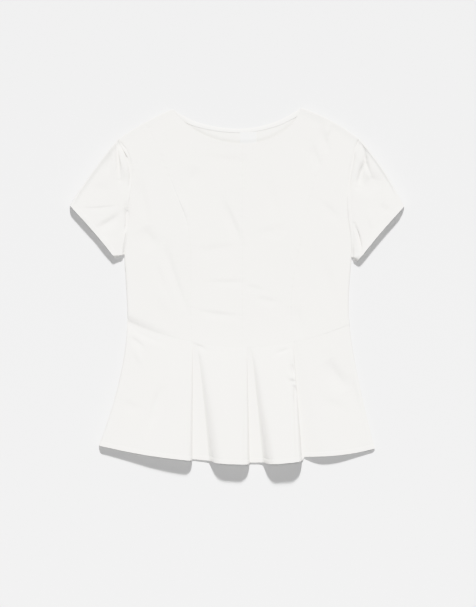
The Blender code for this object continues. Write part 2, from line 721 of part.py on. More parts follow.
def neck_label(collection):
    """The label under the binding, bare."""
    width, height = LABEL_SIZE
    top = float(neck_y("back", LABEL_X)) - BINDING_WIDTH - SEAM
    corners = np.array(((-1, 0), (1, 0), (1, -2), (-1, -2))) / 2
    outline = corners * (width, height) + (LABEL_X, top)
    bottom = WALL + SEAM
    return flat_piece("neck_label", outline[::-1], bottom, TRIM_WALL, LABEL_SATIN, collection)


def main():
    """Clears the scene and makes every piece."""
    for old in list(bpy.data.objects):
        bpy.data.objects.remove(old)
    collection = bpy.data.collections.new(NAME)
    bpy.context.scene.collection.children.link(collection)
    back_bodice(collection)
    back_peplum(collection)
    back_neck_binding(collection)
    neck_label(collection)
    for half in (LEFT, RIGHT):
        front_side(half, collection)
        front_centre(half, collection)
        sleeve(half, collection)
    front_peplum(collection)


main()
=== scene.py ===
"""Looks of a white cotton peplum top that lies flat on a surface with its front up.

Every piece is a shell of cloth worked out on a grid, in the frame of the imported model: metres, +Z up
from the surface, +Y to the neck and +X to the right of someone who looks down on the front. Left and
right are the viewer's. Heights of cloth are those of the middle of its wall.
"""

import logging
from collections.abc import Callable, Sequence
from dataclasses import dataclass
from enum import Enum
from typing import TypeVar

import bpy
import numpy as np
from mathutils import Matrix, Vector
from numpy.typing import NDArray


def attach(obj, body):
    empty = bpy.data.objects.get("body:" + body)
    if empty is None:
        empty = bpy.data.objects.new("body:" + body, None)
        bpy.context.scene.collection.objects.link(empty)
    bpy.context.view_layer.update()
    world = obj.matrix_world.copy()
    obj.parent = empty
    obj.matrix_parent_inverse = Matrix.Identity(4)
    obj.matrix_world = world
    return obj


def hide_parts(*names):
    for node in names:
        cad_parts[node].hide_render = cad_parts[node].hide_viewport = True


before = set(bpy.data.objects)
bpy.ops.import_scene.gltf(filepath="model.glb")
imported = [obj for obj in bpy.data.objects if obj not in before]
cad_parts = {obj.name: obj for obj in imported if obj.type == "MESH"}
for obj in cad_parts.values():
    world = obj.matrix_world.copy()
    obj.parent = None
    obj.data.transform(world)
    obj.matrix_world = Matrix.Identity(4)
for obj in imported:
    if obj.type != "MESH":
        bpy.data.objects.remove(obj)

Array = NDArray[np.float64]
Point = tuple[float, float]
Triple = tuple[float, float, float]
Four = tuple[float, float, float, float]
Colour = Four
Object = bpy.types.Object
Material = bpy.types.Material
Socket = bpy.types.NodeSocket
Rims = tuple[bool, bool, bool, bool]
Row = TypeVar("Row")
LOG = logging.getLogger("peplum_top")
CUT_MAP = "cut"  # the UV map of every piece: metres along and across its grain
TURNED = "turned"  # how far a second layer of cloth lies under a point, from 0 to 1
QUARTER = np.pi / 2
SHARP = np.radians(58)  # edges bent by more than this are shaded as edges
ALL = slice(None)
TINY = 1e-12  # keeps a division by a length finite


class Side(Enum):
    """The two halves of the top, as the viewer sees them."""

    LEFT = -1
    RIGHT = 1

    @property
    def word(self) -> str:
        """The half's name in lower case."""
        return self.name.lower()


class Slot(Enum):
    """Names of material slots."""

    COTTON = "cotton"
    BINDING = "binding"
    LABEL = "label"


class Layer(Enum):
    """The two layers of the bodice, by the name of their column in the neckline's table."""

    FRONT = "front"
    BACK = "back"


class Held(Enum):
    """How a sheet of cloth is held."""

    LAID = "laid"


@dataclass(frozen=True)
class SeamRow:
    """x of a seam on both halves at height y."""

    y: float
    left: float
    right: float


@dataclass(frozen=True)
class NeckRow:
    """y of the neckline's front and back edges at x."""

    x: float
    front: float
    back: float


@dataclass(frozen=True)
class DepthRow:
    """How deep the seams lie at height y, as shares of the full groove, or stand up below 0."""

    y: float
    left: float
    right: float
    centre: float
    armhole_left: float
    armhole_right: float


@dataclass(frozen=True)
class HemRow:
    """y of the front's hem at x."""

    x: float
    y: float


@dataclass(frozen=True)
class Half:
    """Corner points of one half, seen from above, and how its edges bow out and rise."""

    side: Side
    neck: Point
    shoulder: Point
    cuff_top: Point
    cuff_low: Point
    underarm: Point
    shoulder_bow: float  # how far the shoulder seam's middle lies outside the straight line
    sleeve_bow: float  # the same for the sleeve's top edge
    shoulder_crest: float  # how much higher the cloth stands along the shoulder seam
    sleeve_crest: float  # the same along the sleeve's top edge
    sleeve_crest_width: float
    dip_away: float  # distance from the armhole seam to the trough beside it
    cuff_loft: float  # height of the upper layer at the cuff
    cuff_roll: float  # how much wider the tube's edges round at the cuff


LEFT = Half(
    side=Side.LEFT,
    neck=(-0.1166, 0.3177),
    shoulder=(-0.2138, 0.2637),
    cuff_top=(-0.3007, 0.1449),
    cuff_low=(-0.2190, 0.0506),
    underarm=(-0.2025, 0.0560),
    shoulder_bow=0.0034,
    sleeve_bow=0.0022,
    shoulder_crest=0.00030,
    sleeve_crest=0.0024,
    sleeve_crest_width=0.0052,
    dip_away=0.0052,
    cuff_loft=0.0122,
    cuff_roll=0.0070,
)
RIGHT = Half(
    side=Side.RIGHT,
    neck=(0.1156, 0.3204),
    shoulder=(0.2182, 0.2655),
    cuff_top=(0.3007, 0.1435),
    cuff_low=(0.2158, 0.0438),
    underarm=(0.2062, 0.0520),
    shoulder_bow=0.0056,
    sleeve_bow=0.0043,
    shoulder_crest=0.00100,
    sleeve_crest=0.0018,
    sleeve_crest_width=0.0032,
    dip_away=0.0026,
    cuff_loft=0.0125,
    cuff_roll=0.0160,
)


def through(knots: Array, values: Array, at: Array) -> Array:
    """Values of a smooth curve through a table's points, a cubic between each two.

    Args:
        knots: Places of the table's rows.
        values: Values of its rows.
        at: Places to read, held to the table's ends.

    Returns:
        The curve's values there.
    """
    order = np.argsort(knots)
    knots = np.asarray(knots, float)[order]
    values = np.asarray(values, float)[order]
    slopes = np.gradient(values, knots)
    at = np.clip(np.asarray(at, float), knots[0], knots[-1])
    i = np.clip(np.searchsorted(knots, at) - 1, 0, len(knots) - 2)
    step = knots[i + 1] - knots[i]
    t = (at - knots[i]) / step
    rise = (2 * t - 3) * t * t
    lead = values[i] * (1 + rise) - values[i + 1] * rise
    turn = slopes[i] * (t - 1) ** 2 * t + slopes[i + 1] * (t - 1) * t * t
    return lead + turn * step


def column(table: Sequence[object], name: str) -> Array:
    """One named column of a table of rows."""
    return np.array([getattr(row, name) for row in table])


def listed(kind: type[Row], *values: tuple[float, ...]) -> tuple[Row, ...]:
    """Rows of one kind, from their values."""
    return tuple(kind(*value) for value in values)


def read(table: Sequence[object], key: str, name: str, at: Array) -> Array:
    """A table's named column as a smooth curve over its key column, read at some places."""
    return through(column(table, key), column(table, name), at)


def spread(values: Array, along: Array, at: Array) -> Array:
    """Rows of values that stand at distances along a line, read at other distances."""
    return np.column_stack([np.interp(at, along, row) for row in values.T])


def bell(distance: Array, width: float | Array) -> Array:
    """A smooth bump: exp(-(distance / width) ** 2)."""
    return np.exp(-((np.asarray(distance) / width) ** 2))


def ramp(value: Array, start: float, end: float) -> Array:
    """A smooth step from 0 at start to 1 at end: 3 t^2 - 2 t^3 between them."""
    t = np.clip((np.asarray(value) - start) / (end - start), 0, 1)
    return t * t * (3 - 2 * t)


def rounded(distance: Array, width: float) -> Array:
    """A quarter ellipse: 0 at a seam, upright there, and 1 from width on."""
    left = 1 - np.clip(np.asarray(distance) / width, 0, 1)
    return np.sqrt(1 - left * left)


def pressed(distance: Array, width: float, slope: float, share: float) -> Array:
    """A pressed edge: a quarter ellipse up to a share of the height, and a long slope for the rest.

    Args:
        distance: Distance from the edge.
        width: Width of the quarter ellipse.
        slope: Width of the slope.
        share: Share of the height that the quarter ellipse takes.

    Returns:
        0 at the edge and 1 from the end of the slope on.
    """
    return share * rounded(distance, width) + (1 - share) * ramp(distance, 0.0, slope)


def bowed(start: Point, end: Point, bow: float, share: Array) -> Array:
    """Points on a line that bows out to its left: bow times 4 s (1 - s) at share s.

    Args:
        start: Where the line starts.
        end: Where it ends.
        bow: How far its middle lies to the left of the straight line.
        share: Shares of its length.

    Returns:
        One point for each share.
    """
    start, end = np.array(start), np.array(end)
    along = end - start
    normal = np.array((-along[1], along[0])) / np.hypot(*along)
    share = np.asarray(share, float)[:, None]
    return start + along * share + normal * 4 * bow * share * (1 - share)


def patch(top: Array, bottom: Array, left: Array, right: Array, across: Array, down: Array) -> Array:
    """Plan points inside four edges: both pairs of edges blended, less the blend of the corners.

    Args:
        top: First row, one point for each column.
        bottom: Last row.
        left: First column, one point for each row.
        right: Last column.
        across: Shares of the width at the columns.
        down: Shares of the height at the rows.

    Returns:
        Points as rows by columns by 2.
    """
    u, v = across[None, :, None], down[:, None, None]
    sides = left[:, None] * (1 - u) + right[:, None] * u
    ends = top[None] * (1 - v) + bottom[None] * v
    corners = (top[0] * (1 - u) + top[-1] * u) * (1 - v)
    corners = corners + (bottom[0] * (1 - u) + bottom[-1] * u) * v
    return sides + ends - corners


def lengths(points: Array) -> Array:
    """Distance along a line at each of its points."""
    steps = np.linalg.norm(np.diff(points, axis=0), axis=1)
    return np.concatenate(([0.0], np.cumsum(steps)))


def marks(
    length: float, step: float, near: float = 0.0, far: float = 0.0, fine: float = 0.0006
) -> Array:
    """Shares of a length, step apart, and fine apart within near of its start and far of its end.

    Args:
        length: The whole length in metres.
        step: Distance between marks in the middle.
        near: Length of the fine stretch at the start.
        far: Length of the fine stretch at the end.
        fine: Distance between marks in the fine stretches.

    Returns:
        Shares from 0 to 1.
    """
    middle = np.linspace(near, length - far, max(2, round((length - near - far) / step) + 1))
    first = np.arange(0, near - fine / 2, fine)
    last = length - np.arange(0, far - fine / 2, fine)[::-1]
    return np.concatenate((first, middle, last)) / length


def roll_steps(width: float, count: int) -> Array:
    """Distances that divide a rounded edge, close at first: width * (1 - cos), its end left out."""
    return width * (1 - np.cos(QUARTER * np.arange(count) / count))


@dataclass(frozen=True)
class Fold:
    """A soft trough or ridge along a bowed line, with a width of its own on each side."""

    x0: float
    y0: float
    x1: float
    y1: float
    height: float  # below 0 for a trough
    left: float  # its width on the left of its line
    right: float
    bow: float = 0.0
    tip: float = 0.06  # share of its length at each end where it neither rises nor falls

    def lift(self, x: Array, y: Array) -> Array:
        """Height that the fold adds: a bell across it times a sine along it.

        Args:
            x: Places, seen from above.
            y: Places, seen from above.

        Returns:
            height * sin(pi * share) * exp(-(away / width)^2), fading out past both ends.
        """
        run_x, run_y = self.x1 - self.x0, self.y1 - self.y0
        length = np.hypot(run_x, run_y)
        share = ((x - self.x0) * run_x + (y - self.y0) * run_y) / length**2
        inside = np.clip(share, 0, 1)
        away = ((x - self.x0) * run_y - (y - self.y0) * run_x) / length
        away = away - 4 * self.bow * inside * (1 - inside)
        beyond = (share - inside) * length
        fade = np.sin(np.pi * np.clip(share, self.tip, 1 - self.tip))
        across = bell(away, np.where(away < 0, self.left, self.right))
        return self.height * fade * across * bell(beyond, (self.left + self.right) / 2)


def lifted(folds: Sequence[Fold], x: Array, y: Array) -> Array:
    """Height that all folds together add."""
    return sum((fold.lift(x, y) for fold in folds), np.zeros(np.shape(x)))


@dataclass(frozen=True)
class Pattern:
    """Where the top's seams and edges run, seen from above."""

    sides: tuple[SeamRow, ...] = listed(
        SeamRow,
        (0.2655, -0.2152, 0.2182), (0.2484, -0.2021, 0.2119), (0.23, -0.1932, 0.2077),
        (0.21, -0.1885, 0.203), (0.182, -0.1894, 0.1993), (0.155, -0.1913, 0.1984),
        (0.128, -0.1933, 0.1994), (0.097, -0.1967, 0.2034), (0.055, -0.2025, 0.2062),
        (0.02, -0.2007, 0.2037), (-0.016, -0.1985, 0.2012), (-0.058, -0.1973, 0.2018),
        (-0.08, -0.1978, 0.204),
    )
    princess: tuple[SeamRow, ...] = listed(
        SeamRow,
        (0.293, -0.1626, 0.1706), (0.224, -0.1328, 0.1514), (0.164, -0.1088, 0.1315),
        (0.115, -0.091, 0.121), (0.07, -0.0846, 0.112), (0.015, -0.0836, 0.1008),
        (-0.035, -0.0842, 0.0962), (-0.104, -0.0822, 0.102),
    )
    neck: tuple[NeckRow, ...] = listed(
        NeckRow,
        (-0.1166, 0.3177, 0.3177), (-0.095, 0.2961, 0.305), (-0.0842, 0.2862, 0.299),
        (-0.0662, 0.2754, 0.2926), (-0.0482, 0.267, 0.288), (-0.0212, 0.2595, 0.2838),
        (0.0058, 0.2567, 0.2826), (0.0328, 0.2582, 0.285), (0.0598, 0.2655, 0.2916),
        (0.0778, 0.2754, 0.2984), (0.0922, 0.2853, 0.306), (0.1048, 0.2988, 0.3132),
        (0.1156, 0.3204, 0.3204),
    )
    hem: tuple[HemRow, ...] = listed(
        HemRow,
        (-0.2484, -0.2866), (-0.21, -0.295), (-0.167, -0.303), (-0.124, -0.309),
        (-0.0808, -0.3138), (-0.02, -0.319), (0.023, -0.3202), (0.07, -0.3191),
        (0.1172, -0.3145), (0.121, -0.307), (0.15, -0.3062), (0.1825, -0.304),
        (0.215, -0.2995), (0.2479, -0.2921),
    )
    hem_step: Point = (0.1172, 0.1210)
    flares: Point = (1.7, 1.3)  # how late each side of the peplum flares out
    centre_front: float = 0.0085
    waist_low_x: float = 0.011
    waist_low_y: float = -0.110
    waist_curve: float = 1.12
    bulge: float = 0.0011  # how far the back rises inside the neckline
    bulge_slope: float = 0.0044
    bulge_edge: float = 0.0080
    bulge_room: float = 0.018  # distance between the two edges from which it is in full
    settling_rounds: int = 4

    @property
    def corners(self) -> tuple[Point, Point]:
        """The peplum's lower corners."""
        return (self.hem[0].x, self.hem[0].y), (self.hem[-1].x, self.hem[-1].y)

    def side_x(self, half: Half, y: Array) -> Array:
        """x of the armhole and side seam at height y."""
        return read(self.sides, "y", half.side.word, y)

    def princess_x(self, half: Half, y: Array) -> Array:
        """x of the princess seam at height y."""
        return read(self.princess, "y", half.side.word, y)

    def neck_y(self, edge: Layer, x: Array) -> Array:
        """y of the neckline's front or back edge at x."""
        return read(self.neck, "x", edge.value, x)

    def waist_y(self, x: Array) -> Array:
        """y of the waist seam: its lowest point, plus curve times the distance from it squared."""
        return self.waist_low_y + self.waist_curve * (np.asarray(x) - self.waist_low_x) ** 2

    def meets_waist(self, seam: Callable[[Half, Array], Array], half: Half) -> float:
        """x at which a seam meets the waist seam."""
        x = seam(half, self.waist_low_y)
        for _ in range(self.settling_rounds):
            x = seam(half, self.waist_y(x))
        return float(x)

    def waist_end(self, half: Half) -> float:
        """x at which the waist seam meets the side seam."""
        return self.meets_waist(self.side_x, half)

    def princess_end(self, half: Half) -> float:
        """x at which the princess seam meets the waist seam."""
        return self.meets_waist(self.princess_x, half)

    def hem_y(self, x: Array) -> Array:
        """y of the front's hem at x, with its step up behind the last pleat."""
        near, far = self.hem_step
        low = read([row for row in self.hem if row.x <= near], "x", "y", x)
        high = read([row for row in self.hem if row.x >= far], "x", "y", x)
        share = ramp(x, near, far)
        return low * (1 - share) + high * share

    def back_hem_y(self, x: Array, up: float) -> Array:
        """y of the back's hem: the front's without its step, raised by up in the middle."""
        smooth = [row for row in self.hem if row.x not in self.hem_step]
        low, high = self.hem[0].x, self.hem[-1].x
        share = np.clip((np.asarray(x) - low) / (high - low), 0, 1)
        return read(smooth, "x", "y", x) + up * np.sqrt(np.sin(np.pi * share))

    def neck_bulge(self, x: Array, y: Array) -> Array:
        """How far the back rises between the two edges of the neckline.

        Args:
            x: Places, seen from above.
            y: Places, seen from above.

        Returns:
            bulge * (1 - exp(-(over / slope)^2)) over the front's edge, rounded at the back's edge,
            and less where the two edges lie close.
        """
        front, back = self.neck_y(Layer.FRONT, x), self.neck_y(Layer.BACK, x)
        inside = (x > self.neck[0].x) & (x < self.neck[-1].x)
        over, under = np.maximum(y - front, 0), np.maximum(back - y, 0)
        room = ramp(back - front, 0.0, self.bulge_room)
        rise = self.bulge * room * (1 - bell(over, self.bulge_slope))
        return rise * rounded(under, self.bulge_edge) * inside

    def shoulder_y(self, half: Half, x: Array) -> Array:
        """y of the shoulder seam at x, run on straight past both of its ends."""
        share = (np.asarray(x, float) - half.neck[0]) / (half.shoulder[0] - half.neck[0])
        inside = np.clip(share, 0, 1)
        straight = half.neck[1] + (half.shoulder[1] - half.neck[1]) * share
        return straight + 4 * half.shoulder_bow * inside * (1 - inside)


@dataclass(frozen=True)
class FrontForm:
    """The height of the front over the surface: its loft, rounded edges, folds and seams."""

    pattern: Pattern = Pattern()
    wall: float = 0.0010
    edge: float = 0.0018  # height at which the front starts on a side or shoulder seam
    loft: float = 0.0031
    roll: float = 0.0038
    shoulder_roll: float = 0.0003
    shoulder_slope: float = 0.0300  # width of the long slope beside a shoulder seam
    shoulder_share: float = 0.85  # share of the height that its rounding takes
    crest_width: float = 0.0090  # reach of the raised cloth along a shoulder seam
    underarm_fade: float = 0.022
    bust_rise: float = 0.0009
    bust_width: float = 0.055
    busts: tuple[Point, ...] = ((-0.092, 0.085), (0.105, 0.085))
    waist_pull: float = 0.0036  # how much deeper the waist's dip is at its left end
    waist_pull_end: float = -0.104  # x from which it is no deeper
    waist_pull_widths: Point = (0.0098, 0.0130)  # above and below its lowest line
    waist_pull_below: float = 0.0040  # how far below the seam that line runs
    waist_dip: float = 0.00008
    waist_groove: float = 0.00003
    waist_lift: float = 0.0020  # how far the pleats' bulk lifts the seam in the middle
    waist_lift_width: float = 0.030
    waist_lift_reach: float = 0.130
    groove: float = 0.00060  # depth of a seam's groove where it is deepest
    groove_width: float = 0.0013
    depths: tuple[DepthRow, ...] = listed(
        DepthRow,
        (0.27, 0.1, 0.1, 0.2, 0.7, 0.6), (0.251, 0.1, 0.1, 0.2, 1.0, 0.8),
        (0.232, 0.1, 0.1, 0.2, 1.0, 0.9), (0.213, 0.1, 0.1, 0.2, 0.85, 1.0),
        (0.194, 0.12, 0.1, 0.25, 0.75, 0.45), (0.176, 0.5, 0.15, 0.25, -0.1, 0.0),
        (0.162, 1.0, 0.25, 0.25, -0.3, -0.35), (0.14, 1.0, 0.4, 0.25, 0.1, -0.45),
        (0.124, 1.0, 0.2, 0.3, 1.1, -0.45), (0.112, 0.6, 0.15, 0.3, 0.7, -0.4),
        (0.098, 0.25, 0.1, 0.25, -0.4, -0.25), (0.07, 0.18, 0.1, 0.2, -0.3, 0.1),
        (0.04, 0.18, 0.12, 0.2, -0.1, 0.6), (-0.02, 0.2, 0.3, 0.25, 0.0, 0.0),
        (-0.06, 0.2, 0.35, 0.25, 0.0, 0.0), (-0.11, 0.3, 0.35, 0.3, 0.0, 0.0),
    )
    allowance: float = 0.010  # width of the seam allowance that is pressed open under a seam
    allowance_rise: float = 0.00007
    allowance_fade: float = 0.0060
    pucker: float = 0.00007
    pucker_pitch: float = 0.0125
    pucker_reach: float = 0.0050
    second_pucker: Point = (0.6, 3.4)  # height of a second wave, and its half turns in one pitch
    armhole_groove: float = 0.0012
    armhole_width: float = 0.0020
    folds: tuple[Fold, ...] = listed(
        Fold,
        (-0.13, 0.08, -0.088, -0.05, -0.0021, 0.006, 0.012, 0.004),
        (-0.144, 0.076, -0.1, -0.044, 0.0012, 0.009, 0.008, 0.004),
        (-0.028, 0.156, 0.004, 0.08, -0.0018, 0.007, 0.011, -0.002),
        (-0.012, 0.142, 0.014, 0.086, 0.0008, 0.006, 0.008),
        (0.15, 0.29, 0.164, 0.235, -0.0016, 0.006, 0.01),
        (0.168, 0.296, 0.162, 0.268, 0.0009, 0.004, 0.005),
        (-0.176, 0.2, -0.158, 0.105, -0.0015, 0.008, 0.014, 0.003),
        (-0.172, 0.108, -0.142, 0.064, -0.002, 0.009, 0.018),
        (-0.07, 0.216, -0.086, 0.174, -0.001, 0.013, 0.011),
        (-0.108, 0.164, -0.088, 0.12, 0.0009, 0.007, 0.003, -0.001),
        (0.134, 0.254, 0.15, 0.208, -0.0014, 0.006, 0.011),
        (-0.075, -0.044, 0.006, -0.054, -0.001, 0.004, 0.008, 0.002),
        (-0.056, 0.006, 0.018, 0.007, -0.0007, 0.004, 0.007),
        (0.01, 0.001, 0.052, -0.01, -0.0006, 0.005, 0.008),
        (0.104, -0.03, 0.118, -0.094, -0.0012, 0.008, 0.016),
        (0.056, 0.196, 0.072, 0.108, -0.001, 0.011, 0.009),
        (0.148, 0.06, 0.17, -0.05, -0.0011, 0.012, 0.015, -0.004),
        (-0.148, 0.01, -0.118, -0.048, 0.0009, 0.01, 0.013),
        (0.03, -0.02, 0.076, -0.032, -0.0008, 0.005, 0.008),
        (-0.078, 0.062, 0.004, 0.07, -0.0007, 0.008, 0.012),
        (0.026, 0.09, 0.096, 0.104, -0.0006, 0.008, 0.012),
        (0.15, 0.15, 0.186, 0.118, -0.0009, 0.007, 0.013),
        (-0.06, 0.23, 0.03, 0.224, -0.0005, 0.007, 0.012),
    )
    least: float = 0.00015  # smallest rise over the seam's height

    def depth(self, seam: str, y: Array) -> Array:
        """Share of the full groove at which a seam lies at height y."""
        return np.interp(y, column(self.depths, "y")[::-1], column(self.depths, seam)[::-1])

    def seams(self, x: Array, y: Array) -> Array:
        """Height that the princess and centre seams add: a groove, puckers and the allowances.

        Args:
            x: Places, seen from above.
            y: Places, seen from above.

        Returns:
            A narrow bell down at each seam, a faint wave along it, and a step over its allowance.
        """
        share, half_turns = self.second_pucker
        second = share * np.sin(half_turns * np.pi * y / self.pucker_pitch)
        wave = np.sin(2 * np.pi * y / self.pucker_pitch) + second
        lift = np.zeros(np.shape(x))
        seams = {"centre": np.full(np.shape(x), self.pattern.centre_front)}
        seams |= {half.side.word: self.pattern.princess_x(half, y) for half in (LEFT, RIGHT)}
        for name, seam_x in seams.items():
            away = np.abs(x - seam_x)
            step = 1 - ramp(away, self.allowance, self.allowance + self.allowance_fade)
            lift = lift + self.allowance_rise * step + self.pucker * wave * bell(away, self.pucker_reach)
            lift = lift - self.groove * self.depth(name, y) * bell(away, self.groove_width)
        return lift

    def waist(self, x: Array, y: Array) -> Array:
        """Height that the waist seam takes away: a wide dip, deeper at its left end, and a groove."""
        pull_start = self.pattern.sides[-1].left
        pull = np.clip((self.waist_pull_end - x) / (self.waist_pull_end - pull_start), 0, 1)
        over = y - self.pattern.waist_y(x)
        below = over + self.waist_pull_below
        width = np.where(below > 0, *self.waist_pull_widths)
        dip = (self.waist_dip + self.waist_pull * pull) * bell(below, width)
        return -dip - self.waist_groove * bell(over, self.groove_width)

    def body(self, x: Array, y: Array) -> Array:
        """Rise of the front over its edge, without its seams and rounded edges."""
        height = np.full(np.shape(x), self.loft)
        for bust_x, bust_y in self.busts:
            height = height + self.bust_rise * bell(np.hypot(x - bust_x, y - bust_y), self.bust_width)
        return height + lifted(self.folds, x, y)

    def height(self, x: Array, y: Array) -> Array:
        """Height of the front bodice at x, y.

        Args:
            x: Places, seen from above.
            y: Places, seen from above.

        Returns:
            The body's rise with the pleats' lift at the waist, its seams and armhole grooves, times a
            quarter ellipse along each side and a pressed edge along each shoulder, and the crests.
        """
        over = (y - self.pattern.waist_y(x)) / self.waist_lift_width
        across = (x - self.pattern.waist_low_x) / self.waist_lift_reach
        height = self.body(x, y) + self.waist_lift * np.exp(-over - across**4)
        height = height + self.seams(x, y) + self.waist(x, y)
        for half in (LEFT, RIGHT):
            to_side = (self.pattern.side_x(half, y) - x) * half.side.value
            above = np.clip((y - half.underarm[1]) / self.underarm_fade, 0, 1)
            depth = self.armhole_groove * self.depth(f"armhole_{half.side.word}", y)
            height = height - depth * bell(to_side, self.armhole_width)
            slope = (half.neck[1] - half.shoulder[1]) / (half.neck[0] - half.shoulder[0])
            to_shoulder = (self.pattern.shoulder_y(half, x) - self.wall / 2 - y) / np.hypot(1, slope)
            sides = rounded(to_side - self.wall / 2 + above * self.roll, self.roll)
            crest = half.shoulder_crest * bell(to_shoulder, self.crest_width)
            rise = pressed(to_shoulder, self.shoulder_roll, self.shoulder_slope, self.shoulder_share)
            edge = rounded(to_shoulder, self.shoulder_roll)
            height = np.maximum(height, self.least) * sides * rise + crest * sides * edge
        return self.edge + height


@dataclass
class Graph:
    """Places and links the nodes of one shader tree."""

    tree: bpy.types.NodeTree

    def add(
        self, kind: str, inputs: dict[str | int, object] | None = None, **settings: object
    ) -> bpy.types.Node:
        """Adds a node.

        Args:
            kind: Its type.
            inputs: Values or output sockets for its inputs, by name or number.
            **settings: Its own settings.

        Returns:
            The node.
        """
        node = self.tree.nodes.new(kind)
        for name, value in settings.items():
            setattr(node, name, value)
        for name, value in (inputs or {}).items():
            if isinstance(value, Socket):
                self.tree.links.new(value, node.inputs[name])
            else:
                node.inputs[name].default_value = value
        return node

    def link(self, value: Socket, target: Socket) -> None:
        """Leads a value to an input."""
        self.tree.links.new(value, target)

    def maths(self, operation: str, *values: object) -> Socket:
        """The result of one operation on numbers or sockets."""
        return self.add("ShaderNodeMath", dict(enumerate(values)), operation=operation).outputs[0]

    def times(self, first: object, second: object) -> Socket:
        """The product of two numbers or sockets."""
        return self.maths("MULTIPLY", first, second)

    def plus(self, first: object, second: object) -> Socket:
        """The sum of two numbers or sockets."""
        return self.maths("ADD", first, second)

    def noise(
        self, vector: Socket, scale: float, detail: float, roughness: float = 0.55
    ) -> Socket:
        """A noise pattern's value, from 0 to 1."""
        inputs = {"Vector": vector, "Scale": scale, "Detail": detail, "Roughness": roughness}
        return self.add("ShaderNodeTexNoise", inputs).outputs[0]

    def group(self, name: str, inputs: dict[str | int, object]) -> bpy.types.NodeOutputs:
        """Places a shared node group with its inputs, and gives its outputs."""
        return self.add("ShaderNodeGroup", inputs, node_tree=bpy.data.node_groups[name]).outputs

    def mixed(self, factor: object, first: object, second: object) -> Socket:
        """A colour between two, by a factor."""
        inputs = {0: factor, 6: first, 7: second}
        return self.add("ShaderNodeMix", inputs, data_type="RGBA").outputs[2]

    def relief(self, height: object, depth: float, **under: object) -> Socket:
        """A normal bent by a height pattern of some depth, over another normal where one is given."""
        return self.add("ShaderNodeBump", {"Distance": depth, "Height": height, **under}).outputs[0]


def new_group(
    name: str, inputs: dict[str, str], outputs: Sequence[str]
) -> tuple[Graph, bpy.types.NodeOutputs, bpy.types.NodeInputs]:
    """Starts a shader node group.

    Args:
        name: Its name.
        inputs: Its inputs' names and socket types.
        outputs: Its outputs' names, all plain numbers.

    Returns:
        Its graph, the sockets that hold what it is given and those that take what it makes.
    """
    tree = bpy.data.node_groups.new(name, "ShaderNodeTree")
    for label, kind in inputs.items():
        tree.interface.new_socket(name=label, in_out="INPUT", socket_type=kind)
    for label in outputs:
        tree.interface.new_socket(name=label, in_out="OUTPUT", socket_type="NodeSocketFloat")
    graph = Graph(tree)
    return graph, graph.add("NodeGroupInput").outputs, graph.add("NodeGroupOutput").inputs


@dataclass(frozen=True)
class ClothGroups:
    """The three node groups that all cloth shares."""

    waver_scale: float = 38.0
    waver: float = 1.4  # how far threads waver, in threads
    gap: float = 1.6  # how fast the painted shade in the gaps between threads darkens
    slub_scales: Point = (900.0, 45.0)  # across the drawn-out threads and along them
    handling_scales: Point = (26.0, 140.0)
    handling_shares: Point = (0.8, 0.2)
    tone_scale: float = 7.0

    def weave(self) -> None:
        """Plain weave: warp and weft threads that pass over and under each other by turns.

        With p = sin(pi u) sin(pi v), the warp stands |sin(pi u)| (1 + p) / 2 high and the weft
        |sin(pi v)| (1 - p) / 2. The cloth's height is the higher of the two. Vector and Threads go in,
        and Height and the painted shade of the gaps between threads come out.
        """
        inputs = {"Vector": "NodeSocketVector", "Threads": "NodeSocketFloat"}
        graph, given, made = new_group("plain_weave", inputs, ("Height", "Gap"))
        waver = graph.times(graph.noise(given["Vector"], self.waver_scale, 1.0), self.waver)
        axes = graph.add("ShaderNodeSeparateXYZ", {0: given["Vector"]}).outputs
        waves = []
        for axis in (0, 1):
            along = graph.plus(graph.times(axes[axis], given["Threads"]), waver)
            waves.append(graph.maths("SINE", graph.times(along, float(np.pi))))
        product = graph.times(*waves)
        threads = []
        for wave, sign in zip(waves, (0.5, -0.5)):
            over = graph.plus(graph.times(product, sign), 0.5)
            threads.append(graph.times(graph.maths("ABSOLUTE", wave), over))
        height = graph.maths("MAXIMUM", *threads)
        # Painted shade: 1 where the threads dip into the gaps between them, 0 high on the threads
        gap = graph.maths("SUBTRACT", 1.0, graph.times(height, self.gap))
        graph.link(height, made["Height"])
        graph.link(graph.maths("MAXIMUM", gap, 0.0), made["Gap"])

    def slub(self) -> None:
        """Uneven thickness of the threads, from 0 to 1: noise drawn out along warp and weft."""
        graph, given, made = new_group("slub", {"Vector": "NodeSocketVector"}, ("slub",))
        close, drawn_out = self.slub_scales
        drawn = []
        for scale in ((close, drawn_out, 1.0), (drawn_out, close, 1.0)):
            stretched = graph.add("ShaderNodeMapping", {"Vector": given["Vector"], "Scale": scale})
            drawn.append(graph.noise(stretched.outputs[0], 1.0, 2.0))
        graph.link(graph.times(graph.plus(*drawn), 0.5), made["slub"])

    def handling(self) -> None:
        """Faint unevenness of pressed and handled cloth: two scales of soft noise, and a tone."""
        graph, given, made = new_group("handling", {"Vector": "NodeSocketVector"}, ("Height", "Tone"))
        wide, fine = self.handling_scales
        noises = graph.noise(given["Vector"], wide, 3.0), graph.noise(given["Vector"], fine, 2.0)
        heights = [graph.times(noise, share) for noise, share in zip(noises, self.handling_shares)]
        graph.link(graph.plus(*heights), made["Height"])
        graph.link(graph.noise(given["Vector"], self.tone_scale, 2.0), made["Tone"])

    def build(self) -> None:
        """Makes all three."""
        self.weave()
        self.slub()
        self.handling()


def new_material(
    name: str, inputs: dict[str, object]
) -> tuple[Material, Graph, bpy.types.NodeInputs]:
    """Starts a Principled material.

    Args:
        name: Its name.
        inputs: Plain values of the shader's inputs.

    Returns:
        The material, its graph and the shader's inputs.
    """
    material = bpy.data.materials.new(name)
    material.use_nodes = True
    shader = material.node_tree.nodes["Principled BSDF"].inputs
    for label, value in inputs.items():
        shader[label].default_value = value
    return material, Graph(material.node_tree), shader


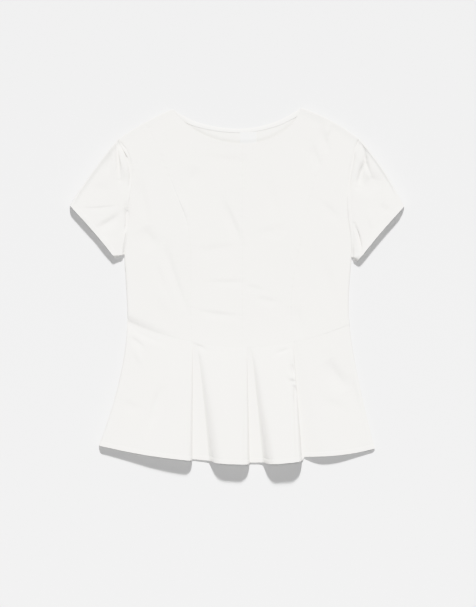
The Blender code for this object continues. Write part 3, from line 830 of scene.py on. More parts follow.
@dataclass(frozen=True)
class ClothFinish:
    """Matte woven cloth: its two tones, its weave and how uneven it lies."""

    name: str
    light: Colour
    shade: Colour
    threads: float = 2300.0  # threads in a metre, counted on one side
    weave_depth: float = 0.00005
    handling_depth: float = 0.00035
    roughness: Point = (0.80, 0.93)
    sheen: float = 0.12
    sheen_roughness: float = 0.5
    specular: float = 0.25
    shares: Triple = (0.5, 0.3, 0.35)  # of handling, slubs and the gaps' painted shade in the tone
    turned_lift: float = 0.25  # how much lighter the tone is over a second layer
    slub_height: float = 0.5

    def material(self) -> Material:
        """The finish as a material on the piece's own UV map.

        Returns:
            A Principled material with colour, roughness and relief from the shared groups.
        """
        plain = {
            "Sheen Weight": self.sheen,
            "Sheen Roughness": self.sheen_roughness,
            "Specular IOR Level": self.specular,
        }
        material, graph, shader = new_material(self.name, plain)
        cut = graph.add("ShaderNodeUVMap", uv_map=CUT_MAP).outputs[0]
        place = graph.add("ShaderNodeTexCoord").outputs["Object"]
        weave = graph.group("plain_weave", {"Vector": cut, "Threads": self.threads})
        slub = graph.group("slub", {"Vector": cut})["slub"]
        handling = graph.group("handling", {"Vector": place})
        turned = graph.add("ShaderNodeAttribute", attribute_name=TURNED).outputs["Fac"]

        marks_share, slub_share, gap_shade_share = self.shares
        tone = graph.plus(graph.times(handling["Tone"], marks_share), graph.times(slub, slub_share))
        # The gaps' painted shade darkens the tone between the threads
        tone = graph.plus(tone, graph.times(weave["Gap"], gap_shade_share))
        tone = graph.maths("SUBTRACT", tone, graph.times(turned, self.turned_lift))
        colour = graph.mixed(graph.maths("MAXIMUM", tone, 0.0), self.light, self.shade)
        graph.link(colour, shader["Base Color"])

        low, high = self.roughness
        graph.link(graph.plus(graph.times(slub, high - low), low), shader["Roughness"])

        soft = graph.relief(handling["Height"], self.handling_depth)
        threads = graph.plus(weave["Height"], graph.times(slub, self.slub_height))
        graph.link(graph.relief(threads, self.weave_depth, Normal=soft), shader["Normal"])
        return material


@dataclass(frozen=True)
class ThreadFinish:
    """Twisted sewing thread: fine slanting stripes of light and shade."""

    name: str = "sewing_thread"
    light: Colour = (0.86, 0.855, 0.84, 1.0)
    shade: Colour = (0.74, 0.73, 0.71, 1.0)
    twist: float = 1500.0
    depth: float = 0.00004
    roughness: float = 0.7

    def material(self) -> Material:
        """The finish on Object coordinates: a wave of twist in its colour and its relief."""
        material, graph, shader = new_material(self.name, {"Roughness": self.roughness})
        place = graph.add("ShaderNodeTexCoord").outputs["Object"]
        inputs = {"Vector": place, "Scale": self.twist}
        twist = graph.add("ShaderNodeTexWave", inputs, bands_direction="DIAGONAL").outputs["Fac"]
        graph.link(graph.mixed(twist, self.light, self.shade), shader["Base Color"])
        graph.link(graph.relief(twist, self.depth), shader["Normal"])
        return material


@dataclass(frozen=True)
class FloorFinish:
    """The plain pale surface that the top lies on."""

    name: str = "pale_surface"
    colour: Colour = (0.778, 0.778, 0.778, 1.0)
    roughness: float = 0.95
    specular: float = 0.0

    def material(self) -> Material:
        """The finish as a plain matte material."""
        plain = {
            "Base Color": self.colour,
            "Roughness": self.roughness,
            "Specular IOR Level": self.specular,
        }
        return new_material(self.name, plain)[0]


WHITE_COTTON = ClothFinish(
    "white_cotton", light=(0.836, 0.828, 0.810, 1.0), shade=(0.806, 0.798, 0.780, 1.0)
)
BIAS_COTTON = ClothFinish(
    "bias_cotton",
    light=(0.865, 0.860, 0.846, 1.0),
    shade=(0.835, 0.828, 0.812, 1.0),
    handling_depth=0.00015,
)
SATIN = ClothFinish(
    "satin_label",
    light=(0.850, 0.850, 0.845, 1.0),
    shade=(0.815, 0.815, 0.808, 1.0),
    threads=4200.0,
    weave_depth=0.00002,
    handling_depth=0.0001,
    roughness=(0.45, 0.60),
    sheen=0.05,
)


@dataclass(frozen=True)
class Finishes:
    """All materials of the top."""

    cotton: Material
    binding: Material
    label: Material
    thread: Material

    @classmethod
    def made(cls) -> "Finishes":
        """Builds the shared groups and the materials that use them."""
        ClothGroups().build()
        finishes = (WHITE_COTTON, BIAS_COTTON, SATIN, ThreadFinish())
        return cls(*(finish.material() for finish in finishes))


@dataclass
class Shell:
    """A wall of cloth round a grid of points, rows by columns, that stands for a CAD node.

    The first column follows the last where it is closed. A rim marked round is a folded edge: the
    marks are for the first row, the last row, the first column and the last column.
    """

    node: str
    middle: Array
    wall: float | Array
    closed: bool = False
    round_rims: Rims = (False, False, False, False)
    turned: Array | None = None

    def ring(self) -> Array:
        """The grid, with its first column once more at its end where it is closed."""
        if not self.closed:
            return self.middle
        return np.concatenate((self.middle, self.middle[:, :1]), axis=1)

    def slopes(self) -> tuple[Array, Array]:
        """Steps of the grid from column to column and from row to row."""
        if self.closed:
            across = (np.roll(self.middle, -1, axis=1) - np.roll(self.middle, 1, axis=1)) / 2
        else:
            across = np.gradient(self.middle, axis=1)
        return across, np.gradient(self.middle, axis=0)

    def normals(self) -> Array:
        """Unit vectors out of the face: steps from row to row crossed with those between columns."""
        across, down = self.slopes()
        normal = np.cross(down, across)
        return normal / np.maximum(np.linalg.norm(normal, axis=2, keepdims=True), TINY)

    def face(self) -> Array:
        """Points on the cloth's outer face."""
        return self.middle + self.normals() * (self.thickness() / 2)[..., None]

    def thickness(self) -> Array:
        """The wall's thickness at every point."""
        return np.broadcast_to(np.asarray(self.wall, float), self.middle.shape[:2])

    def cut(self) -> Array:
        """Place of every point on the flat cut: distances along its row and down its column."""
        ring = self.ring()
        over = np.linalg.norm(np.diff(ring, axis=1), axis=2)
        over = np.concatenate((np.zeros((len(ring), 1)), np.cumsum(over, axis=1)), axis=1)
        over = over - over[:, over.shape[1] // 2, None]
        down = np.linalg.norm(np.diff(ring, axis=0), axis=2)
        down = np.concatenate((np.zeros((1, ring.shape[1])), np.cumsum(down, axis=0)), axis=0)
        return np.dstack((over, down))

    def cut_size(self) -> tuple[float, float]:
        """Greatest width and length of the flat cut."""
        cut = self.cut()
        width = float(np.ptp(cut[..., 0], axis=1).max())
        return width, float(np.ptp(cut[..., 1], axis=0).max())

    def rims(self) -> list[tuple[Array, Array]]:
        """Each open edge: the numbers of its points, and which of the four rims each is on."""
        rows, columns = self.middle.shape[:2]
        number = np.arange(rows * columns).reshape(rows, columns)
        if self.closed:
            return [(number[0], np.full(columns, 0)), (number[-1, ::-1], np.full(columns, 1))]
        loop = np.concatenate((number[0, :-1], number[:-1, -1], number[-1, :0:-1], number[:0:-1, 0]))
        sides = np.repeat((0, 3, 1, 2), (columns - 1, rows - 1, columns - 1, rows - 1))
        return [(loop, sides)]

    def build(self, material: Material) -> Object:
        """Makes the wall: its outer face, its inner face and its rims, as one closed mesh.

        Args:
            material: Its finish.

        Returns:
            The new object, at the origin.
        """
        rows, columns = self.middle.shape[:2]
        count = rows * columns
        normals = self.normals()
        half = (self.thickness() / 2)[..., None]
        points = [(self.middle + normals * side).reshape(-1, 3) for side in (half, -half)]
        number = np.arange(count).reshape(rows, columns)
        beside = np.roll(number, -1, axis=1)
        last = columns if self.closed else columns - 1
        corners = [grid[:, :last] for grid in (number[:-1], number[1:], beside[1:], beside[:-1])]
        outer = np.stack(corners, axis=-1).reshape(-1, 4)
        cut = self.cut()
        cut_corners = [cut[:-1, :last], cut[1:, :last], cut[1:, 1 : last + 1], cut[:-1, 1 : last + 1]]
        outer_cut = np.stack(cut_corners, axis=-2).reshape(-1, 4, 2)
        faces = [outer, outer[:, ::-1] + count]
        maps = [outer_cut, outer_cut[:, ::-1]]
        flat_cut = cut[:, :columns].reshape(-1, 2)
        flat_middle, flat_normals = self.middle.reshape(-1, 3), normals.reshape(-1, 3)
        flat_half = half.reshape(-1, 1)
        start = 2 * count
        turned = np.zeros((rows, columns)) if self.turned is None else self.turned
        weights = [turned.ravel(), turned.ravel()]
        round_rims = np.array(self.round_rims, float)
        for loop, sides in self.rims():
            along = flat_middle[np.roll(loop, -1)] - flat_middle[np.roll(loop, 1)]
            out = np.cross(flat_normals[loop], along)
            out /= np.maximum(np.linalg.norm(out, axis=1, keepdims=True), TINY)
            swell = np.maximum(round_rims[sides], round_rims[np.roll(sides, 1)])
            points.append(flat_middle[loop] + out * flat_half[loop] * swell[:, None])
            rim = start + np.arange(len(loop))
            start += len(loop)
            following, rim_following = np.roll(loop, -1), np.roll(rim, -1)
            faces.append(np.column_stack((loop, following, rim_following, rim)))
            faces.append(np.column_stack((rim, rim_following, following + count, loop + count)))
            rim_cut = np.stack([flat_cut[at] for at in (loop, following, following, loop)], axis=1)
            maps += [rim_cut, rim_cut]
            weights.append(turned.ravel()[loop])
        name = f"{self.node}_cloth"
        piece = new_piece(name, np.concatenate(points), np.concatenate(faces), material)
        layer = piece.data.uv_layers.new(name=CUT_MAP)
        layer.data.foreach_set("uv", np.concatenate(maps).astype(np.float32).ravel())
        layers = piece.data.attributes.new(TURNED, "FLOAT", "POINT")
        layers.data.foreach_set("value", np.concatenate(weights).astype(np.float32))
        return piece

    def line_above(self, up: float, columns: slice) -> tuple[Array, Array]:
        """A line on the outer face, at a distance up the columns from the last row.

        Args:
            up: Distance from the last row.
            columns: Which of the columns the line crosses.

        Returns:
            The line's points and the directions out of the cloth there.
        """
        face, normals = self.face()[:, columns], self.normals()[:, columns]
        steps = np.linalg.norm(np.diff(face, axis=0), axis=2)
        left = np.concatenate((np.cumsum(steps[::-1], axis=0)[::-1], np.zeros((1, face.shape[1]))))
        row = np.clip((left > up).sum(axis=0) - 1, 0, len(face) - 2)
        number = np.arange(face.shape[1])
        above, below = left[row, number], left[row + 1, number]
        share = np.clip((above - up) / np.maximum(above - below, TINY), 0, 1)[:, None]
        line, out = (
            values[row, number] * (1 - share) + values[row + 1, number] * share
            for values in (face, normals)
        )
        return line, out

    def dress(
        self,
        piece: Object,
        rests_on: Sequence[str] = (),
        stitches: Sequence[Object] = (),
        slot: Slot = Slot.COTTON,
        flat: Point | None = None,
    ) -> list[Object]:
        """Args:
            piece: The built piece.
            rests_on: Names of what it lies on; not used.
            stitches: Stitches on it.
            slot: Its material slot; not used.
            flat: Width and length of its flat cut, where the shell's own aren't those; not used.

        Returns:
            The piece and its stitches.
        """
        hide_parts(self.node)
        return [piece, *stitches]


def new_object(name: str, data: bpy.types.ID) -> Object:
    """Puts a new object with some data into the scene."""
    item = bpy.data.objects.new(name, data)
    bpy.context.scene.collection.objects.link(item)
    return item


def new_piece(name: str, points: Array, faces: Array, material: Material) -> Object:
    """Puts points and faces into a new object that rides on the body.

    Args:
        name: The object's name.
        points: Its points.
        faces: Its faces, all with as many corners.
        material: Its finish.

    Returns:
        The object, smooth but for its hard edges.
    """
    mesh = bpy.data.meshes.new(name)
    mesh.from_pydata(points.tolist(), [], faces.tolist())
    mesh.shade_smooth()
    mesh.set_sharp_from_angle(angle=SHARP)
    mesh.materials.append(material)
    piece = new_object(name, mesh)
    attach(piece, "root")
    return piece


@dataclass(frozen=True)
class StitchLine:
    """Straight sewing stitches: short capsules of thread, sunk at both ends."""

    pitch: float = 0.0029
    length: float = 0.0023
    width: float = 0.00042
    proud: float = 0.00016
    sides: int = 6
    sections: tuple[Point, ...] = ((-1.0, 0.35), (-0.72, 0.9), (0.0, 1.0), (0.72, 0.9), (1.0, 0.35))

    def sew(
        self, name: str, shell: Shell, up: float, columns: slice, material: Material
    ) -> Object:
        """Lays stitches end to end beside a shell's last row.

        Every stitch is a ring of points carried along its length: place + t * reach * length / 2
        + b * size * cos * width / 2 + n * proud * (size * sin - (1 - size)), with the reach and the
        size of its sections, so that its ends sink into the cloth.

        Args:
            name: The object's name.
            shell: The cloth.
            up: Distance of the stitches from its last row.
            columns: Which of its columns they cross.
            material: The thread's finish.

        Returns:
            One object with all the stitches.
        """
        line, normals = shell.line_above(up, columns)
        along = lengths(line)
        at = np.arange(self.pitch / 2, along[-1], self.pitch)
        place, out = spread(line, along, at), spread(normals, along, at)
        run = spread(np.gradient(line, along, axis=0), along, at)
        run /= np.linalg.norm(run, axis=1, keepdims=True)
        out -= run * (out * run).sum(axis=1, keepdims=True)
        out /= np.linalg.norm(out, axis=1, keepdims=True)
        beside = np.cross(out, run)
        turn = 2 * np.pi * np.arange(self.sides) / self.sides
        reach, size = np.array(self.sections).T
        shape = (len(at), len(reach), self.sides, 3)
        points = np.broadcast_to(place[:, None, None], shape)
        points = points + run[:, None, None] * (reach * self.length / 2)[None, :, None, None]
        ring = size[:, None] * np.cos(turn) * self.width / 2
        rise = size[:, None] * np.sin(turn) * self.proud - (1 - size[:, None]) * self.proud
        points = points + beside[:, None, None] * ring[None, :, :, None]
        points = points + out[:, None, None] * rise[None, :, :, None]
        number = np.arange(points[..., 0].size).reshape(points.shape[:3])
        beyond = np.roll(number, -1, axis=2)
        sides = np.stack((number[:, :-1], beyond[:, :-1], beyond[:, 1:], number[:, 1:]), axis=-1)
        # Each end ring's six points make two faces
        caps = [number[:, 0, [0, 5, 4, 3]], number[:, 0, [0, 3, 2, 1]]]
        caps += [number[:, -1, [0, 1, 2, 3]], number[:, -1, [0, 3, 4, 5]]]
        faces = np.concatenate([sides.reshape(-1, 4), *caps])
        piece = new_piece(name, points.reshape(-1, 3), faces, material)
        return piece


@dataclass(frozen=True)
class Hem:
    """A turned and stitched edge."""

    depth: float = 0.0080
    extra: float = 0.0004  # thickness that the turned layer adds
    dent: float = 0.00062  # how deep the stitches draw the cloth in
    dent_width: float = 0.0012
    fade: float = 0.0012  # width over which the turned layer ends
    waver: float = 0.00008
    waver_pitch: float = 0.0070
    rims: Rims = (False, True, False, False)

    def thickness(self, away: Array, along: Array, wall: float) -> Array:
        """Wall thickness near the edge: thicker over the turned layer, thinner at the stitches.

        Args:
            away: Distance from the edge.
            along: Distance along it.
            wall: Thickness of the single cloth.

        Returns:
            wall + extra * step(depth) - dent * bell(away - depth), with a slight wave along it.
        """
        wave = np.sin(2 * np.pi * along / self.waver_pitch) * bell(away - self.depth, self.depth / 2)
        dent = self.dent * bell(away - self.depth, self.dent_width)
        return wall + self.extra * self.turned(away) - dent + self.waver * wave

    def turned(self, away: Array) -> Array:
        """Where the turned layer lies under the cloth."""
        return 1 - ramp(away, self.depth, self.depth + self.fade)

    def shell(
        self, node: str, middle: Array, wall: float, closed: bool = False, shown: slice = ALL
    ) -> Shell:
        """A shell of cloth whose last row is this edge.

        Args:
            node: Name of the CAD node that it stands for.
            middle: Its grid.
            wall: Thickness of the single cloth.
            closed: Whether its first column follows its last.
            shown: The columns where the turned layer thickens it.

        Returns:
            The shell.
        """
        cut = Shell(node, middle, wall, closed).cut()[:, : middle.shape[1]]
        away = cut[-1:, :, 1] - cut[..., 1]
        thickness = np.full(middle.shape[:2], wall)
        thickness[:, shown] = self.thickness(away, cut[..., 0], wall)[:, shown]
        return Shell(node, middle, thickness, closed, self.rims, self.turned(away))

    def sewn(
        self, shell: Shell, name: str, columns: slice, finishes: Finishes, rests_on: Sequence[str] = ()
    ) -> list[Object]:
        """Builds a shell with this edge and its stitches, and dresses it.

        Args:
            shell: The shell.
            name: Name of its stitches.
            columns: The columns that they cross.
            finishes: The materials.
            rests_on: Names of what the piece lies on.

        Returns:
            The piece and its stitches.
        """
        piece = shell.build(finishes.cotton)
        stitches = StitchLine().sew(name, shell, self.depth, columns, finishes.thread)
        return shell.dress(piece, rests_on, [stitches])


@dataclass
class FrontBodice:
    """The four panels of the front bodice, on the front's form."""

    finishes: Finishes
    form: FrontForm = FrontForm()
    gap: float = 0.0001  # between two panels that are sewn together
    step: float = 0.0021
    roll_rows: int = 8
    side_width: float = 0.10
    fine_seam: float = 0.0036  # reach of the close columns beside a seam
    fine_waist: float = 0.004
    seam_points: int = 24
    neck_points: int = 90

    def down(self, half: Half) -> Array:
        """Shares of the panels' height at their rows, close near the shoulder and the waist."""
        length = half.shoulder[1] - self.form.pattern.waist_low_y
        rows = marks(length, self.step, far=self.fine_waist)
        roll = roll_steps(self.form.roll / length, self.roll_rows)
        return np.concatenate((roll, rows[rows > roll[-1] + self.step / length / 2]))

    def outer_edge(self, half: Half) -> Array:
        """Points down the armhole and side seam at the panel's rows."""
        pattern, wall = self.form.pattern, self.form.wall
        top = half.shoulder[1] - wall / 2
        end = float(pattern.waist_y(pattern.waist_end(half))) + self.gap / 2
        y = top + (end - top) * self.down(half)
        above = np.clip((y - half.underarm[1]) / (2 * self.form.underarm_fade), 0, 1)
        inset = wall / 2 + (self.gap - wall) / 2 * above
        return np.column_stack((pattern.side_x(half, y) - half.side.value * inset, y))

    def princess_edge(self, half: Half, shift: float) -> Array:
        """Points down the princess seam at the panel's rows, moved over by shift."""
        pattern = self.form.pattern
        start_x = pattern.princess_x(half, pattern.princess[0].y)
        top = float(pattern.shoulder_y(half, start_x)) - self.form.wall / 2
        end = float(pattern.waist_y(pattern.princess_end(half))) + self.gap / 2
        y = top + (end - top) * self.down(half)
        return np.column_stack((pattern.princess_x(half, y) + shift, y))

    def waist_edge(self, start_x: float, end_x: float, across: Array) -> Array:
        """The bodice's lower edge between two seams."""
        x = start_x + (end_x - start_x) * across
        return np.column_stack((x, self.form.pattern.waist_y(x) + self.gap / 2))

    def side_plan(self, half: Half) -> Array:
        """Plan of a side panel: columns from the side seam to the princess seam."""
        outer = self.outer_edge(half)
        inner = self.princess_edge(half, half.side.value * self.gap / 2)
        roll = self.form.roll / self.side_width
        flat = marks(self.side_width, self.step, far=self.fine_seam)
        across = np.concatenate((roll_steps(roll, self.roll_rows), flat[flat > roll]))
        top = outer[0] + (inner[0] - outer[0]) * across[:, None]
        top[:, 1] = self.form.pattern.shoulder_y(half, top[:, 0]) - self.form.wall / 2
        top[0], top[-1] = outer[0], inner[0]
        bottom = self.waist_edge(outer[-1, 0], inner[-1, 0], across)
        return patch(top, bottom, outer, inner, across, self.down(half))

    def centre_plan(self, half: Half) -> Array:
        """Plan of a centre panel: columns from the princess seam to the centre front seam."""
        pattern, wall = self.form.pattern, self.form.wall
        outer = self.princess_edge(half, -half.side.value * self.gap / 2)
        neck_x = half.neck[0] - half.side.value * wall / 2
        centre_x = pattern.centre_front + half.side.value * self.gap / 2
        seam_x = np.linspace(outer[0, 0], neck_x, self.seam_points)
        seam = np.column_stack((seam_x, pattern.shoulder_y(half, seam_x) - wall / 2))
        line_x = np.linspace(neck_x, centre_x, self.neck_points)[1:]
        line = np.column_stack((line_x, pattern.neck_y(Layer.FRONT, line_x) - wall / 2))
        edge = np.concatenate((seam, line))
        edge[0] = outer[0]
        along = lengths(edge)
        across = marks(along[-1], self.step, near=self.fine_seam, far=self.fine_seam)
        top = spread(edge, along, across * along[-1])
        down = self.down(half)
        centre_y = top[-1, 1] + (pattern.waist_y(centre_x) + self.gap / 2 - top[-1, 1]) * down
        centre = np.column_stack((np.full(len(down), centre_x), centre_y))
        bottom = self.waist_edge(outer[-1, 0], centre_x, across)
        return patch(top, bottom, outer, centre, across, down)

    def panel(self, kind: str, plan: Array, half: Half) -> list[Object]:
        """Raises a panel's plan to the front's form, walls it and dresses it.

        Args:
            kind: Name of the CAD node that it stands for, without its half.
            plan: Its plan, columns from its outer edge inward.
            half: Its half.

        Returns:
            The panel.
        """
        if half.side is Side.RIGHT:
            plan = plan[:, ::-1]
        x, y = plan[..., 0], plan[..., 1]
        middle = np.dstack((x, y, self.form.height(x, y)))
        shell = Shell(f"{kind}_{half.side.word}", middle, self.form.wall)
        return shell.dress(shell.build(self.finishes.cotton), ["back_bodice_cloth"])

    def build(self) -> list[Object]:
        """Makes the four panels."""
        pieces = []
        for half in (LEFT, RIGHT):
            pieces += self.panel("front_side", self.side_plan(half), half)
            pieces += self.panel("front_centre", self.centre_plan(half), half)
        return pieces


@dataclass(frozen=True)
class Pleat:
    """One knife pleat. waist_x and edge_x are its crisp fold at the waist and at the hem."""

    waist_x: float
    edge_x: float
    before: float  # height of the panel that ends in the fold
    fold: float  # width over which the panel rounds down to the fold
    valley: float  # width of the low cloth beside the fold
    rise: float  # width of the whole slope up to the next panel
    steep: float  # share of the rise that a steep swell takes
    steep_at: float  # share of the slope at which the swell starts
    steep_width: float  # share of the slope over which it rises most
    after: float  # height of the next panel
    flare: float  # how late the cloth beside the rise flares out


@dataclass
class FrontPeplum:
    """The pleated front peplum: its hem section, drawn up to the waist seam."""

    finishes: Finishes
    form: FrontForm = FrontForm()
    hem: Hem = Hem()
    gap: float = 0.0001
    step: float = 0.0021
    panel_step: float = 0.0018
    low: float = 0.0021  # height of cloth that touches the back
    length: float = 0.212
    fine_waist: float = 0.004  # reach of the close rows below the seam
    fine_hem: float = 0.0105  # and above the hem
    drop: float = 0.8  # power at which cloth rises from the seam's height to the hem's
    lead: float = 0.08  # how far that curve has already run at the seam
    side_roll: float = 0.006
    side_fade: float = 0.012  # distance from a side at which folds have their full depth
    fold_start: float = 0.008  # distance below the waist seam at which folds have their full depth
    end_heights: Point = (0.0100, 0.0048)
    foot_round: float = 0.0014
    fullness: float = 0.92  # below 1, a fold is fuller than a quarter ellipse
    valley_up: float = 0.0028  # how much higher the hem runs in the valleys
    valley_margin: float = 0.001
    top_width: float = 0.0140  # width of a whole pleat at the waist
    top_lead: float = 0.0038  # how far it starts before its fold
    turn_steps: int = 9
    fold_steps: int = 18
    rise_density: float = 1.8  # how much closer columns stand on a rise
    # Shares of the pleat's width at the waist where its fold, foot, valley and rise end
    top_shares: tuple[float, ...] = (0.0, 0.26, 0.36, 0.58, 1.0)
    pleats: tuple[Pleat, ...] = (
        Pleat(-0.0790, -0.0808, 0.0192, 0.0120, 0.0180, 0.0400, 0.84, 0.29, 0.150, 0.0230, 0.66),
        Pleat(0.0184, 0.0222, 0.0236, 0.0165, 0.0136, 0.0350, 0.82, 0.27, 0.180, 0.0260, 0.72),
        Pleat(0.1015, 0.1168, 0.0264, 0.0165, 0.0040, 0.0400, 0.00, 0.50, 0.500, 0.0108, 0.90),
    )
    folds: tuple[Fold, ...] = listed(
        Fold,
        (-0.129, -0.17, -0.158, -0.262, -0.003, 0.011, 0.007, 0.003),
        (-0.198, -0.09, -0.164, -0.118, -0.0016, 0.0042, 0.0064, -0.003),
        (-0.194, -0.076, -0.13, -0.104, -0.001, 0.004, 0.0064, 0.002),
        (-0.186, -0.106, -0.17, -0.142, 0.0012, 0.005, 0.006),
        (-0.11, -0.13, -0.124, -0.23, 0.0014, 0.012, 0.01),
        (0.16, -0.128, 0.202, -0.19, -0.0034, 0.011, 0.016, 0.004),
        (0.205, -0.15, 0.224, -0.25, -0.0016, 0.009, 0.012),
        (0.0985, -0.138, 0.104, -0.166, -0.0044, 0.003, 0.0034, 0.001),
        (0.092, -0.166, 0.1075, -0.174, -0.0028, 0.0028, 0.0042, 0.001),
        (0.0985, -0.174, 0.1065, -0.2, -0.0046, 0.003, 0.0036, -0.002),
        (0.093, -0.152, 0.0975, -0.176, 0.0014, 0.0024, 0.003),
        (0.102, -0.19, 0.109, -0.222, -0.003, 0.0026, 0.0032, 0.001),
        (-0.076, -0.098, -0.056, -0.118, -0.0018, 0.0038, 0.0052),
        (0.068, -0.124, 0.096, -0.112, -0.002, 0.0036, 0.0028),
        (-0.086, -0.15, -0.0872, -0.33, -0.001, 0.002, 0.0028),
        (0.014, -0.135, 0.0136, -0.35, -0.0019, 0.0028, 0.0042),
        (0.1, -0.135, 0.1092, -0.35, -0.0024, 0.0024, 0.0036),
        (0.05, -0.15, 0.056, -0.25, -0.0012, 0.01, 0.008),
        (-0.03, -0.145, -0.024, -0.26, 0.001, 0.01, 0.011),
        (0.15, -0.205, 0.2, -0.225, -0.001, 0.009, 0.014),
        (-0.208, -0.21, -0.17, -0.224, -0.001, 0.008, 0.013),
    )

    def pleat_parts(self, pleat: Pleat) -> list[Array]:
        """Hem section of one pleat, part by part: fold, foot, valley and rise.

        Args:
            pleat: The pleat.

        Returns:
            x and height down from the panel along a fold whose x and height are powers of sine and
            cosine, a quarter circle out to the low cloth, the low cloth, and up: a swell 1 - (1 + s)
            * exp(-s), which starts fast and ends slowly, and a half cosine, or a quarter sine alone.
        """
        turn = QUARTER * np.arange(1, self.fold_steps + 1) / self.fold_steps
        foot_z = self.low + self.foot_round
        fold = np.column_stack(
            (
                pleat.edge_x - pleat.fold * (1 - np.sin(turn) ** self.fullness),
                foot_z + (pleat.before - foot_z) * np.cos(turn) ** self.fullness,
            )
        )
        turn = QUARTER * np.arange(1, self.turn_steps + 1) / self.turn_steps
        foot = np.column_stack(
            (
                pleat.edge_x + self.foot_round * (1 - np.cos(turn)),
                foot_z - self.foot_round * np.sin(turn),
            )
        )
        end = pleat.edge_x + pleat.valley
        count = max(3, round((end - foot[-1, 0]) / self.step))
        share = np.linspace(0, 1, count + 1)[1:]
        valley = np.column_stack((foot[-1, 0] + (end - foot[-1, 0]) * share, np.full(count, self.low)))
        share = np.linspace(0, 1, round(pleat.rise / self.step * self.rise_density) + 1)[1:]
        since = np.maximum(share - pleat.steep_at, 0) / pleat.steep_width
        swell = 1 - (1 + since) * np.exp(-since)
        gentle = (1 - np.cos(np.pi * share)) / 2 if pleat.steep else np.sin(QUARTER * share)
        rise = pleat.steep * swell / swell[-1] + (1 - pleat.steep) * gentle
        slope = np.column_stack((end + pleat.rise * share, self.low + (pleat.after - self.low) * rise))
        return [fold, foot, valley, slope]

    def section(self) -> Array:
        """The whole hem section from left to right.

        Returns:
            One row for each column of the cloth: hem x, hem height, waist x and curve power.
        """
        pattern, wall, edge = self.form.pattern, self.form.wall, self.form.edge
        turn = QUARTER * np.arange(self.turn_steps + 1) / self.turn_steps
        starts = (pattern.corners[0][0] + wall / 2, pattern.corners[1][0] - wall / 2)
        rolls = []
        for start, height, sign, half in zip(starts, self.end_heights, (1, -1), (LEFT, RIGHT)):
            waist = pattern.waist_end(half) + sign * (wall / 2 + self.form.roll * (1 - np.cos(turn)))
            hem = start + sign * self.side_roll * (1 - np.cos(turn))
            rolls.append(np.column_stack((hem, edge + (height - edge) * np.sin(turn), waist)))
        left, right = rolls[0], rolls[1][::-1]
        columns = [left]
        power_x, power = [starts[0]], [pattern.flares[0]]
        for pleat in self.pleats:
            first = pleat.waist_x - self.top_lead
            end = (pleat.edge_x - pleat.fold, pleat.before, first)
            columns.append(self.panel_columns(columns[-1][-1], end))
            for part, low, high in zip(self.pleat_parts(pleat), self.top_shares, self.top_shares[1:]):
                share = low + (high - low) * np.arange(1, len(part) + 1) / len(part)
                columns.append(np.column_stack((part, first + self.top_width * share)))
            power_x += [pleat.edge_x, pleat.edge_x + pleat.valley + pleat.rise]
            power += [1.0, pleat.flare]
        columns.append(self.panel_columns(columns[-1][-1], tuple(right[0])))
        columns.append(right)
        joined = np.concatenate(columns)
        powers = np.interp(joined[:, 0], [*power_x, starts[1]], [*power, pattern.flares[1]])
        return np.column_stack((joined, powers))

    def panel_columns(self, start: Array, end: Sequence[float]) -> Array:
        """The cloth between two pleats: straight in plan, and a smooth step in height."""
        start, end = np.array(start), np.array(end)
        count = max(2, round((end[0] - start[0]) / self.panel_step))
        share = np.linspace(0, 1, count + 1)[1:-1, None]
        ease = share * share * (3 - 2 * share)
        blend = np.concatenate((share, ease, share), axis=1)
        return start + (end - start) * blend

    def build(self) -> list[Object]:
        """Makes the peplum and the stitches of its hem.

        Every point lies on a curve from the waist seam to the hem: x = waist x + (hem x - waist x)
        * t^power, y straight down to a hem that runs higher in the valleys, and height = waist height
        + (hem height - waist height) times (t + lead)^drop, less its value at the waist and scaled to
        1 at the hem. The waist's dip and the folds are added to that.

        Returns:
            The cloth and its stitches.
        """
        pattern, form = self.form.pattern, self.form
        hem_x, hem_z, waist_x, power = self.section().T
        down = marks(self.length, self.step, self.fine_waist, self.fine_hem)[:, None]
        seam_y = pattern.waist_y(waist_x)
        start_y = seam_y - self.gap / 2
        x = waist_x + (hem_x - waist_x) * down**power
        margin = self.valley_margin
        first, last = self.pleats[0].edge_x - margin, self.pleats[-1].edge_x + margin
        valleys = (hem_x > first) & (hem_x < last)
        drawn_up = self.valley_up * valleys * (1 - ramp(hem_z, self.low, self.pleats[0].before))
        y = start_y + (pattern.hem_y(hem_x) + drawn_up - start_y) * down
        inward = np.minimum(waist_x - waist_x[0], waist_x[-1] - waist_x)
        drawn = rounded(inward, form.roll)
        waist_z = form.height(waist_x, seam_y) - form.waist(waist_x, seam_y) * drawn
        lead = (down + self.lead) ** self.drop - self.lead**self.drop
        lead = lead / lead[-1]
        z = waist_z + (hem_z - waist_z) * lead
        side = ramp(np.minimum(x - x[:, :1], x[:, -1:] - x), 0.0, self.side_fade)
        below = ramp(start_y - y, 0.0, self.fold_start)
        z = z + form.waist(x, y) * drawn + lifted(self.folds, x, y) * side * below
        shell = self.hem.shell("front_peplum", np.dstack((x, y, z)), form.wall)
        columns = slice(self.turn_steps, -self.turn_steps)
        rests_on = ["back_peplum_cloth"]
        return self.hem.sewn(shell, "front_hem_stitches", columns, self.finishes, rests_on)


